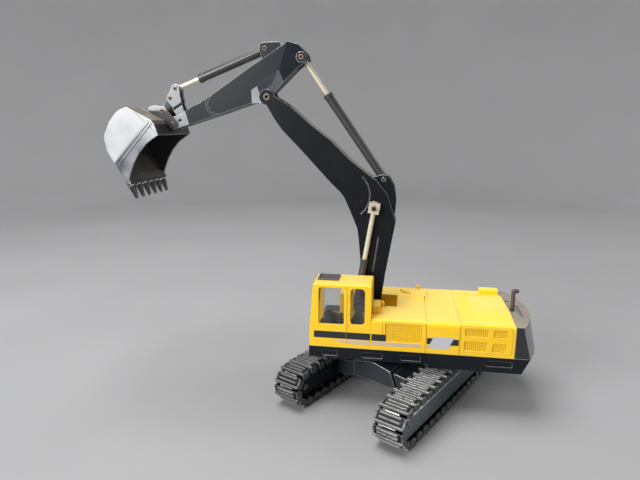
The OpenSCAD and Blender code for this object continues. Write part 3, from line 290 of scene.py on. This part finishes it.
def chain_point(travelled):
    """Place in the track's plane at a distance along the chain, from the bottom's front end."""
    straight, bend = 2 * wheel_reach, math.pi * pitch_radius
    travelled %= 2 * (straight + bend)
    if travelled < straight:
        return Vector((wheel_reach - travelled, wheel_height - pitch_radius))
    if travelled < straight + bend:
        a = math.radians(-90) - (travelled - straight) / pitch_radius
        return Vector((-wheel_reach + pitch_radius * math.cos(a), wheel_height + pitch_radius * math.sin(a)))
    if travelled < 2 * straight + bend:
        return Vector((travelled - straight - bend - wheel_reach, wheel_height + pitch_radius))
    a = math.radians(90) - (travelled - 2 * straight - bend) / pitch_radius
    return Vector((wheel_reach + pitch_radius * math.cos(a), wheel_height + pitch_radius * math.sin(a)))


def xyz(tree, x, y, z):
    return node(tree, "ShaderNodeCombineXYZ", {}, {0: x, 1: y, 2: z})


def bar(tree, extent, middle):
    """A box, as a wire of geometry."""
    box = node(tree, "GeometryNodeMeshCube", {}, {"Size": extent})
    return node(tree, "GeometryNodeTransform", {}, {"Geometry": box, "Translation": middle})


def joined(tree, wires):
    """Several wires of geometry as one."""
    made = tree.nodes.new("GeometryNodeJoinGeometry")
    for wire in wires:
        tree.links.new(wire.socket, made.inputs[0])
    return Wire(tree, made.outputs[0])


def new_tree(name, sizes):
    """A geometry tree with one named input for each size, and the wires of those inputs."""
    tree = bpy.data.node_groups.new(name, "GeometryNodeTree")
    tree.interface.new_socket("Geometry", in_out="INPUT", socket_type="NodeSocketGeometry")
    for key in sizes:
        tree.interface.new_socket(key, in_out="INPUT", socket_type="NodeSocketFloat")
    tree.interface.new_socket("Geometry", in_out="OUTPUT", socket_type="NodeSocketGeometry")
    start = tree.nodes.new("NodeGroupInput")
    return tree, {key: Wire(tree, start.outputs[key]) for key in ["Geometry", *sizes]}


def end_tree(tree, geometry, material, second=None, chosen=None):
    """Realize Instances, then the material, and a second one where chosen holds."""
    real = node(tree, "GeometryNodeRealizeInstances", {}, {0: geometry})
    last = node(tree, "GeometryNodeSetMaterial", {}, {"Geometry": real, "Material": material})
    if second:
        last = node(tree, "GeometryNodeSetMaterial", {}, {"Geometry": last, "Material": second,
                                                         "Selection": chosen})
    end = tree.nodes.new("NodeGroupOutput")
    tree.links.new(last.socket, end.inputs[0])


def grown(name, seed_mesh, tree, sizes, shift=None):
    """Runs the tree on the seed mesh, with these sizes, and returns a plain mesh object."""
    seed = bpy.data.objects.new(name + "_seed", seed_mesh)
    bpy.context.scene.collection.objects.link(seed)
    modifier = seed.modifiers.new("grow", "NODES")
    modifier.node_group = tree
    for item in tree.interface.items_tree:
        if item.in_out == "INPUT" and item.name in sizes:
            modifier[item.identifier] = float(sizes[item.name])
    bpy.context.view_layer.update()
    mesh = bpy.data.meshes.new_from_object(seed.evaluated_get(bpy.context.evaluated_depsgraph_get()))
    bpy.data.objects.remove(seed)
    if shift is not None:
        mesh.transform(shift)
    mesh.name = name
    piece = bpy.data.objects.new(name, mesh)
    bpy.context.scene.collection.objects.link(piece)
    return piece


def round_bar(tree, radius, length, middle):
    """A rod along Y with its ends closed, as a wire of geometry."""
    rod = node(tree, "GeometryNodeMeshCylinder", {}, {"Vertices": 12, "Radius": radius, "Depth": length})
    return node(tree, "GeometryNodeTransform", {}, {"Geometry": rod, "Rotation": (math.pi / 2, 0.0, 0.0),
                                                   "Translation": middle})


shoe_sizes = {"Shoe Width": 15.7 * mm, "Plate Length": 6.0 * mm, "Plate Thickness": 0.6 * mm,
              "Plate Depth": 0.8 * mm, "Rib Width": 0.85 * mm, "Rib Height": 0.9 * mm,
              "Rib Spacing": 2.1 * mm, "Short Rib": 11.0 * mm, "Lug Thickness": 0.95 * mm,
              "Lug Length": 5.0 * mm, "Rail Spread": 2.6 * mm}
# Each block of a lug: its place and length as shares of the lug's, its bottom and height in mm
lug_blocks = ((0.0, 0.62, -2.0, 0.7), (0.36, 0.28, -1.1, 2.5), (-0.36, 0.28, -1.1, 2.5),
              (0.0, 0.9, 0.35, 1.05))
lug_boss, boss_offset, web_height, web_middle = 0.62 * mm, 0.35 * mm, 2.6 * mm, -0.4 * mm
rail_width, rail_height, rail_middle, rail_eye = 1.2 * mm, 2.3 * mm, -0.2 * mm, 1.15 * mm
tree, size = new_tree("track_chain", shoe_sizes)
plate_top = size["Plate Depth"] + size["Plate Thickness"]
plate_width = size["Shoe Width"] - size["Lug Thickness"] * 2.0
dark = [bar(tree, xyz(tree, size["Plate Length"], plate_width, size["Plate Thickness"]),
            xyz(tree, 0.0, 0.0, size["Plate Depth"] + size["Plate Thickness"] * 0.5))]
bright = []
for side in (-1.0, 1.0):
    lug_y = (size["Shoe Width"] - size["Lug Thickness"]) * (0.5 * side)
    rail_y = size["Rail Spread"] * side
    for along, length, bottom, height in lug_blocks:
        bright.append(bar(tree, xyz(tree, size["Lug Length"] * length, size["Lug Thickness"], height * mm),
                          xyz(tree, size["Lug Length"] * along, lug_y, (bottom + height / 2) * mm)))
    bright.append(round_bar(tree, lug_boss, size["Lug Thickness"],
                            xyz(tree, boss_offset, lug_y, -boss_offset)))
    dark.append(bar(tree, xyz(tree, size["Lug Length"] * 0.8, size["Lug Thickness"] * 0.5, web_height),
                    xyz(tree, 0.0, lug_y * 0.97, web_middle)))
    dark.append(bar(tree, xyz(tree, size["Plate Length"] * 0.94, rail_width, rail_height),
                    xyz(tree, 0.0, rail_y, rail_middle)))
    dark.append(round_bar(tree, rail_eye, rail_width, xyz(tree, size["Plate Length"] * 0.37, rail_y, 0.0)))
for number, rib_length in ((1.0, size["Shoe Width"]), (0.0, size["Short Rib"]), (-1.0, size["Short Rib"])):
    along = size["Rib Spacing"] * number
    bright.append(bar(tree, xyz(tree, size["Rib Width"], rib_length, size["Rib Height"] * 0.6),
                      xyz(tree, along, 0.0, plate_top + size["Rib Height"] * 0.3)))
    bright.append(bar(tree, xyz(tree, size["Rib Width"] * 0.6, rib_length - 0.4 * mm, size["Rib Height"]),
                      xyz(tree, along, 0.0, plate_top + size["Rib Height"] * 0.5)))
stud = node(tree, "GeometryNodeMeshCylinder", {},
            {"Vertices": 10, "Radius": 0.5 * mm, "Depth": size["Rib Height"]})
stud_middle = xyz(tree, 0.0, 0.0, plate_top + size["Rib Height"] * 0.5)
bright.append(node(tree, "GeometryNodeTransform", {}, {"Geometry": stud, "Translation": stud_middle}))
flagged = node(tree, "GeometryNodeStoreNamedAttribute", {"data_type": "BOOLEAN", "domain": "FACE"},
               {"Geometry": joined(tree, bright), "Name": "rib", "Value": True})
shoe = joined(tree, dark + [flagged])
heading = node(tree, "GeometryNodeInputNamedAttribute", {"data_type": "FLOAT_VECTOR"}, {"Name": "heading"})
placed = node(tree, "GeometryNodeInstanceOnPoints", {},
              {"Points": size["Geometry"], "Instance": shoe, "Rotation": heading})
is_rib = node(tree, "GeometryNodeInputNamedAttribute", {"data_type": "BOOLEAN"}, {"Name": "rib"})
# Partly wear, partly painted highlight: the lighter grey of ribs and lugs; the rest of each shoe keeps the
# near-black gunmetal as painted shade.
rib_metal = worn_paint("rib_wear_and_highlight", (0.12, 0.121, 0.123), (0.66, 0.66, 0.65), 0.38, metallic=0.35, edge=0.16,
                       wear=2.0)
end_tree(tree, placed, gunmetal, rib_metal, is_rib)

chain_pitch = 2 * (2 * wheel_reach + math.pi * pitch_radius) / shoe_count
first_pin = -0.25
for side, name in ((1, "left_track_shoes"), (-1, "right_track_shoes")):
    places, headings = [], []
    for number in range(shoe_count):
        a = chain_point((number + first_pin) * chain_pitch)
        b = chain_point((number + first_pin + 1) * chain_pitch)
        middle = (a + b) / 2
        outward = Vector((a.y - b.y, b.x - a.x)).normalized()
        spot = Vector((middle.x, side * track_middle, middle.y)) * mm
        places.append(Matrix.Rotation(track_yaw, 3, "Z") @ spot)
        headings.append((0.0, math.atan2(outward.x, outward.y), track_yaw))
    seed = bpy.data.meshes.new(name + "_path")
    seed.from_pydata(places, [], [])
    turn = seed.attributes.new("heading", "FLOAT_VECTOR", "POINT")
    for number, value in enumerate(headings):
        turn.data[number].vector = value
    chain = grown(name + "_chain", seed, tree, shoe_sizes)
    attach(chain, "undercarriage")
    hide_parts(name)


# ---- yellow bodywork ----
# Engine hood, doors, step block, filter box, filler caps, tank housing and cab shell are
# moulded in yellow plastic. Corners are soft and paler, partly rubbed and partly a painted highlight
# of light through the thin edges. The surface has slight flow marks and fine scratches, and what
# faces up is painted paler as a highlight of the light from above.


def moulded(name, colour, pale, roughness, edge=0.5, coat=0.0, painted_top_highlight=None):
    """Moulded plastic: soft, paler corners (mm wide), cloudy flow marks, fine scratches, tops painted paler
    as a highlight.
    """
    material, tree = blank_material(name)
    place = node(tree, "ShaderNodeTexCoord", out="Object")
    cloud = node(tree, "ShaderNodeTexNoise", {}, {"Vector": place, "Scale": 45.0, "Detail": 3.0})
    fine = node(tree, "ShaderNodeTexNoise", {}, {"Vector": place, "Scale": 1800.0, "Detail": 2.0})
    stretched = node(tree, "ShaderNodeMapping", {}, {"Vector": place, "Scale": (350.0, 350.0, 3000.0),
                                                     "Rotation": (0.0, 0.5, 0.2)})
    scratch = node(tree, "ShaderNodeTexNoise", {}, {"Vector": stretched, "Scale": 1.0, "Detail": 5.0})
    scuffs = ((scratch - 0.60) * 7.0).clamp()
    rounded = node(tree, "ShaderNodeBevel", {"samples": 4}, {0: edge * mm})
    flat = node(tree, "ShaderNodeNewGeometry", out="Normal")
    facing = node(tree, "ShaderNodeVectorMath", {"operation": "DOT_PRODUCT"}, {0: rounded, 1: flat}, 1)
    # Paler corners: partly rubbing, partly a painted highlight of light through the thin plastic.
    rubbed = ((1 - facing) * 2.4 - 0.1).clamp() * 0.45
    toned = mixed(tree, cloud, tuple(c * 0.93 for c in colour), tuple(min(1.0, c * 1.05) for c in colour))
    # Painted highlight: what faces up is mixed towards the paler top tone.
    if painted_top_highlight:
        up = node(tree, "ShaderNodeSeparateXYZ", {}, {0: node(tree, "ShaderNodeTexCoord", out="Normal")}, 2)
        sloping = ((up - 0.90) * 7.0).clamp() * 0.7
        flat_on_top = ((up - 0.994) * 140.0).clamp() * 0.3
        toned = mixed(tree, ((sloping + flat_on_top) * (cloud * 0.4 + 0.7)).clamp(), toned, painted_top_highlight)
    bump = node(tree, "ShaderNodeBump", {}, {"Strength": 0.05, "Distance": 0.2 * mm,
                                            "Height": fine + scuffs * 0.4, "Normal": rounded})
    shade(tree, {"Coat Weight": coat, "Coat Roughness": 0.15},
          Base_Color=mixed(tree, (rubbed + scuffs * 0.08).clamp(), toned, pale),
          Roughness=(cloud * 0.14 + scuffs * 0.18 + (roughness - 0.05)).clamp(), Normal=bump)
    return material


yellow = moulded("yellow_plastic", (0.95, 0.585, 0.010), (1.0, 0.79, 0.25), 0.34, coat=0.1,
                 painted_top_highlight=(0.94, 0.695, 0.19))
dress(yellow, "engine_hood", "left_front_door", "left_rear_door", "right_front_door", "right_rear_door",
      "step_block", "air_filter_box", "filler_caps", "right_tank_housing", "cab_shell")

# ---- cab interior, tool box and roof hatch ----
# Floor, seat, consoles, levers and the box under the tank housing are moulded in black
# plastic, the hatch in the cab's roof in a dull grey one.
black_plastic = moulded("black_plastic", (0.020, 0.022, 0.026), (0.16, 0.16, 0.17), 0.42)
dress(black_plastic, "cab_floor", "operator_seat", "side_consoles", "control_levers", "right_tool_box")
hatch_plastic = moulded("hatch_plastic", (0.085, 0.080, 0.078), (0.25, 0.24, 0.23), 0.48)
dress(hatch_plastic, "roof_hatch")

# ---- grilles ----
# The engine doors are perforated where they lie over the radiator and the blower: rows
# of small round pits moulded into the panel.
pit_radius, pit_depth, pits_apart, rows_apart = 0.28, 0.12, 0.98, 0.84
door_face = 28.24
# Each perforated panel's rear, front, bottom and top edge, for the front and the rear door
grille_panels = {"front": [(-14.2, 3.3, 38.9, 47.6)],
                 "rear": [(-55.5, -50.0, 44.4, 47.3), (-46.4, -36.2, 44.4, 47.4),
                          (-55.5, -49.8, 36.7, 40.2), (-46.0, -36.0, 36.7, 40.6)]}
tree, size = new_tree("perforation", ("Length", "Height", "Columns", "Rows", "Pit Radius"))
sheet = node(tree, "GeometryNodeMeshGrid", {}, {"Size X": size["Length"], "Size Y": size["Height"],
                                               "Vertices X": size["Columns"], "Vertices Y": size["Rows"]})
pit = node(tree, "GeometryNodeMeshCylinder", {},
           {"Vertices": 8, "Radius": size["Pit Radius"], "Depth": pit_depth * mm})
dots = node(tree, "GeometryNodeInstanceOnPoints", {}, {"Points": sheet, "Instance": pit})
pit_shade = moulded("pit_shadow", (0.66, 0.29, 0.006), (0.75, 0.4, 0.03), 0.5)
end_tree(tree, dots, pit_shade)
for side, hand in ((1, "left"), (-1, "right")):
    for door, panels in grille_panels.items():
        whole = bmesh.new()
        for x0, x1, z0, z1 in panels:
            sizes = {"Length": (x1 - x0) * mm, "Height": (z1 - z0) * mm, "Pit Radius": pit_radius * mm,
                     "Columns": round((x1 - x0) / pits_apart) + 1, "Rows": round((z1 - z0) / rows_apart) + 1}
            middle = Vector(((x0 + x1) / 2, side * door_face, (z0 + z1) / 2)) * mm
            upright = Matrix.Translation(middle) @ Matrix.Rotation(math.radians(90), 4, "X")
            panel = grown("dots", bpy.data.meshes.new("empty"), tree, sizes, upright)
            whole.from_mesh(panel.data)
            bpy.data.objects.remove(panel)
        grille = bpy.data.objects.new(hand + "_" + door + "_grille", bpy.data.meshes.new(door + "_grille"))
        whole.to_mesh(grille.data)
        whole.free()
        grille.data.materials.append(pit_shade)
        bpy.context.scene.collection.objects.link(grille)
        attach(grille, "upper")


# ---- side stripes ----
# Printed foil bands along both sides: a black one from the cab to the front door, a thin
# tan line under it, and a plain silver panel between two black ends on the middle door.


def prism(name, outline, y0, y1, material):
    """An outline in X and Z (mm) with thickness from y0 to y1, closed."""
    made = bmesh.new()
    low = [made.verts.new((x * mm, y0 * mm, z * mm)) for x, z in outline]
    face = made.faces.new(low)
    ring = bmesh.ops.extrude_face_region(made, geom=[face])
    moved = [v for v in ring["geom"] if isinstance(v, bmesh.types.BMVert)]
    bmesh.ops.translate(made, verts=moved, vec=(0, (y1 - y0) * mm, 0))
    bmesh.ops.recalc_face_normals(made, faces=made.faces)
    mesh = bpy.data.meshes.new(name)
    made.to_mesh(mesh)
    made.free()
    mesh.materials.append(material)
    piece = bpy.data.objects.new(name, mesh)
    bpy.context.scene.collection.objects.link(piece)
    return piece


band_low, band_high = 38.4, 42.1


def band(x0, x1):
    """The outline of a black band between two places along the side."""
    return [(x0, band_low), (x0, band_high), (x1, band_high), (x1, band_low)]


foil_black = moulded("black_foil", (0.016, 0.018, 0.022), (0.10, 0.10, 0.11), 0.34, edge=0.05)
foil_tan = moulded("tan_foil", (0.62, 0.46, 0.30), (0.70, 0.56, 0.40), 0.42, edge=0.05)
foil_silver = moulded("silver_foil", (0.52, 0.51, 0.54), (0.7, 0.7, 0.72), 0.36, edge=0.05)
body_side, sunk, proud = 28.6, 0.02, 0.04
left_start, right_start = 41.0, 30.6
for side, hand in ((1, "left"), (-1, "right")):
    y0, y1 = sorted((side * (body_side - sunk), side * (body_side + proud)))
    front = left_start if side > 0 else right_start
    foils = [("front_band", band(front, 24.1), foil_black),
             ("middle_band", band(24.0, 11.6), foil_black),
             ("rear_band", band(11.0, 3.7), foil_black),
             ("tan_wedge", [(front - 8.5, 37.6), (24.6, 37.8), (24.6, 35.9)], foil_tan),
             ("tan_line", [(23.4, 38.1), (11.6, 38.1), (11.6, 35.6), (23.4, 35.8)], foil_tan),
             ("tan_tail", [(11.0, 38.0), (-14.2, 38.1), (-14.2, 36.1), (11.0, 35.6)], foil_tan),
             ("tan_end", [(-17.0, 37.9), (-17.6, 37.9), (-17.9, 36.2), (-17.0, 36.2)], foil_tan),
             ("badge_front", [(-17.0, 38.5), (-17.0, 41.8), (-20.1, 41.8), (-18.5, 38.4)], foil_black),
             ("badge_rear", [(-28.5, 38.4), (-30.2, 41.8), (-32.8, 41.7), (-32.8, 38.5)], foil_black),
             ("badge_panel", [(-17.4, 36.3), (-20.2, 42.7), (-30.8, 42.5), (-28.0, 36.0)], foil_silver)]
    for name, outline, foil in foils:
        piece = prism(hand + "_" + name, outline, y0, y1, foil)
        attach(piece, "upper")

# ---- cab door hinges ----
# Three small hinge knuckles on the door post of the cab, moulded with it in yellow plastic.
hinge_post, hinge_radius, hinge_length = (23.1, 28.62), 0.32, 1.5
hinge = bmesh.new()
for height in (46.2, 52.2, 59.8):
    place = Matrix.Translation(Vector((*hinge_post, height)) * mm)
    bmesh.ops.create_cone(hinge, cap_ends=True, segments=12, radius1=hinge_radius * mm,
                          radius2=hinge_radius * mm, depth=hinge_length * mm, matrix=place)
hinges = bpy.data.objects.new("left_door_hinges", bpy.data.meshes.new("left_door_hinges"))
hinge.to_mesh(hinges.data)
hinge.free()
hinges.data.materials.append(yellow)
bpy.context.scene.collection.objects.link(hinges)
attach(hinges, "upper")

# ---- glazing ----
# One clear plastic insert stands behind all the cab's window openings. It has no tint, only
# faint smears and specks of dust.
glazing, tree = blank_material("clear_glazing")
place = node(tree, "ShaderNodeTexCoord", out="Object")
smear = node(tree, "ShaderNodeTexNoise", {}, {"Vector": place, "Scale": 160.0, "Detail": 4.0})
dust = node(tree, "ShaderNodeTexNoise", {}, {"Vector": place, "Scale": 2600.0, "Detail": 1.0})
specks = ((dust - 0.66) * 3.0).clamp() * 0.2
shade(tree, {"Specular IOR Level": 0.4},
      Base_Color=mixed(tree, smear, (0.16, 0.16, 0.16), (0.30, 0.30, 0.30)),
      Roughness=smear * 0.1 + 0.05, Alpha=specks + smear * 0.08 + 0.05)
dress(glazing, "cab_glazing")

# ---- counterweight and exhaust ----
# The counterweight is a heavy casting with satin black paint; its top is painted tan and its
# curved back a light grey, as highlights of the light on them. The exhaust stack beside it is
# turned metal gone dull.


def rear_sheen(tree, x, y, z, stain):
    """The curved back of the casting, painted a dull light grey as a sheen of the light on it."""
    back = (x < -62.0 * mm) * (y < 28.5 * mm) * (z < 49.9 * mm)
    return back * (stain * 0.4 + 0.55), (0.34, 0.35, 0.36)


# Painted highlights: the dust setting paints the top tan, rear_sheen paints the curved back light grey.
top_and_back_lit_paint = worn_paint("counterweight_paint", (0.016, 0.017, 0.020), (0.55, 0.55, 0.55), 0.34, wear=3.4, edge=0.6,
                   dust=1.1, shine=0.6, polished=rear_sheen)
dress(top_and_back_lit_paint, "counterweight")
stack_metal = worn_paint("stack_metal", (0.11, 0.095, 0.085), (0.45, 0.42, 0.40), 0.36, metallic=0.5)
dress(stack_metal, "exhaust_pipe")

# ---- boom and arm ----
# Two box beams, cast in metal and painted a very dark satin navy. Their edges are worn bright
# and their tops are painted tan as a highlight of the light on them.
navy = worn_paint("navy_paint", (0.0055, 0.007, 0.010), (0.52, 0.54, 0.57), 0.36, shine=0.18, dust=0.9)
dress(navy, "boom")

boom_tip = (69.887, 161.313)
arm_direction = (0.9677, -0.2521)


def arm_facets(tree, x, y, z, stain):
    """The sloped wall beside the boom's tip, painted near white as a reflection of the light; the
    outer faces of the block at the arm's own tip, painted pale grey; and the rest of the hollow at the
    boom's tip, painted a lighter dull grey as painted light over its shade."""
    along = (x - boom_tip[0] * mm) * arm_direction[0] + (z - boom_tip[1] * mm) * arm_direction[1]
    wall = ((along - 3.4 * mm) * 3000.0).clamp() * ((9.2 * mm - along) * 3000.0).clamp()
    wall = wall * (y > 2.4 * mm) * (y < 5.12 * mm)
    tip = ((along - 46.2 * mm) * 4000.0).clamp() * (y > 4.3 * mm) * (y < 4.6 * mm)
    before_tail = (x - 63.2 * mm) * 0.9 - (z - 174.3 * mm) * 0.44
    hollow = (along < 3.4 * mm) * (before_tail > 0.0) * (z < 175.0 * mm) * (y > 2.4 * mm) * (y < 5.185 * mm)
    return (wall + tip * 0.55 + hollow).clamp() * (stain * 0.3 + 0.75), \
        mixed(tree, hollow, (0.62, 0.64, 0.67), (0.075, 0.083, 0.097))


arm_navy = worn_paint("arm_paint", (0.0115, 0.0145, 0.020), (0.62, 0.65, 0.68), 0.34, wear=3.8, edge=0.4,
                      shine=0.22, dust=0.6, polished=arm_facets)
dress(arm_navy, "arm")

# ---- cylinders ----
# The barrels are turned and painted dark grey. The rods are pale brassy steel with an eye at
# the end, and slide in them.
barrel_paint = worn_paint("barrel_paint", (0.055, 0.055, 0.056), (0.40, 0.40, 0.40), 0.30, wear=2.0,
                          metallic=0.3, shine=0.6)
dress(barrel_paint, "left_boom_barrel", "right_boom_barrel", "arm_cylinder_barrel", "bucket_cylinder_barrel")
rod_metal = worn_paint("rod_metal", (0.80, 0.72, 0.57), (0.92, 0.88, 0.78), 0.26, metallic=0.5)
dress(rod_metal, "left_boom_rod", "right_boom_rod", "arm_cylinder_rod", "bucket_cylinder_rod")

# ---- linkage and bucket ----
# The rocker plates are bare castings, and the coupling link is painted dark grey. The bucket
# is cast and painted dark; its side plates are painted near white as a reflection of the light, and its
# teeth are rubbed bright at their edges.


def rocker_slit_shade(tree, x, y, z, stain):
    """Painted shade: faces between 1.8 and 2.62 mm from the middle, the walls and floor of the slit cast
    across each rocker plate, painted near black.
    """
    return (y > 1.8 * mm) * (y < 2.62 * mm), (0.008, 0.008, 0.009)


linkage_metal = worn_paint("linkage_metal", (0.19, 0.197, 0.21), (0.75, 0.76, 0.78), 0.32, wear=4.0,
                           metallic=0.45, polished=rocker_slit_shade)
dress(linkage_metal, "rocker_plates")
link_paint = worn_paint("link_paint", (0.05, 0.052, 0.056), (0.60, 0.60, 0.60), 0.38)
dress(link_paint, "coupling_link")

rib_direction = (0.67, -0.742)


def bucket_side_reflection(tree, x, y, z, stain):
    """Side plates painted as a reflection of the light: near white above the ribs, darker bluish and blotched
    towards the teeth; the tops of the ears painted pale likewise.
    """
    along = x * rib_direction[0] + z * rib_direction[1] + 25.9 * mm
    below = x * rib_direction[1] - z * rib_direction[0] + 196.6 * mm
    dull = ((below + 0.5 * mm) * 900.0).clamp() * ((along - 4.0 * mm) * 70.0).clamp()
    dull = dull * (stain * 2.4 - 0.35).clamp()
    ear = ((z - 154.2 * mm) * 900.0).clamp() * (y > 4.0 * mm) * (y < 7.0 * mm)
    return ((y > 20.6 * mm) + ear * 0.8).clamp() * (stain * 0.25 + 0.85).clamp(), \
        mixed(tree, dull, mixed(tree, stain, (0.38, 0.385, 0.39), (0.56, 0.565, 0.57)), (0.075, 0.088, 0.11))


bucket_metal = worn_paint("bucket_metal", (0.030, 0.031, 0.032), (0.66, 0.67, 0.68), 0.36, wear=2.8, dust=0.8,
                          polished=bucket_side_reflection)
dress(bucket_metal, "bucket_shell")
tooth_metal = worn_paint("tooth_metal", (0.022, 0.023, 0.025), (0.62, 0.63, 0.64), 0.34, wear=4.5, edge=0.3,
                         metallic=0.3)
dress(tooth_metal, "bucket_teeth")

# ---- pin bores and bushes ----
# Every hinge pin is a hollow rivet; on the pins listed below a thin black disc on each end stands
# as painted shade for its dark bore. The square rod eyes of the boom cylinders hold a bronze bush on
# the pin, with a black disc in its middle as painted shade for the bore.
disc_thickness = 0.1 * mm
tree, size = new_tree("end_discs", ("Disc Thickness",))
disc = node(tree, "GeometryNodeMeshCylinder", {},
            {"Vertices": 20, "Radius": 1.0, "Depth": size["Disc Thickness"]})
disc = node(tree, "GeometryNodeTransform", {}, {"Geometry": disc, "Rotation": (math.pi / 2, 0.0, 0.0)})
reach = node(tree, "GeometryNodeInputNamedAttribute", {"data_type": "FLOAT_VECTOR"}, {"Name": "reach"})
discs = node(tree, "GeometryNodeInstanceOnPoints", {},
             {"Points": size["Geometry"], "Instance": disc, "Scale": reach})
painted_bore_shade = worn_paint("bore_shadow", (0.006, 0.006, 0.006), (0.02, 0.02, 0.02), 0.7, shine=0.1)
end_tree(tree, discs, painted_bore_shade)


def end_discs(name, body, spots, material=None):
    """Thin discs on both sides of the machine: each spot gives a pin, half width and radius in mm."""
    both = [(pin, side * half_width, radius) for pin, half_width, radius in spots for side in (-1, 1)]
    seed = bpy.data.meshes.new(name + "_spots")
    seed.from_pydata([Vector((pin[0], y, pin[1])) * mm for pin, y, radius in both], [], [])
    reach = seed.attributes.new("reach", "FLOAT_VECTOR", "POINT")
    for number, (pin, y, radius) in enumerate(both):
        reach.data[number].vector = (radius * mm, 1.0, radius * mm)
    made = grown(name, seed, tree, {"Disc Thickness": disc_thickness})
    if material:
        made.data.materials.clear()
        made.data.materials.append(material)
    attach(made, body)


boom_rod_eye, arm_barrel_foot = (12.149, 104.143), (7.614, 118.887)
bucket_barrel_foot, arm_rod_eye = (51.331, 180.924), (70.757, 185.681)
rocker_pin, link_top, bucket_rod_eye = (119.105, 149.526), (124.848, 161.258), (121.72, 166.309)
link_foot, bucket_pin = (128.617, 154.6), (122.917, 147.5)
end_discs("boom_bores", "boom", [(boom_tip, 5.58, 0.85), (arm_barrel_foot, 4.18, 0.6)])
end_discs("arm_bores", "arm", [(bucket_barrel_foot, 5.15, 0.6), (arm_rod_eye, 5.38, 0.6)])
end_discs("rocker_bores", "rocker", [(rocker_pin, 4.62, 0.62), (bucket_rod_eye, 2.88, 0.62),
                                     (link_top, 2.88, 0.62)])
end_discs("bucket_bores", "bucket", [(link_foot, 6.17, 0.62), (bucket_pin, 5.88, 0.62)])
end_discs("rod_eye_bushes", "boom_rods", [(boom_rod_eye, 10.92, 1.35)], bronze)
end_discs("rod_eye_bores", "boom_rods", [(boom_rod_eye, 10.98, 0.7)])
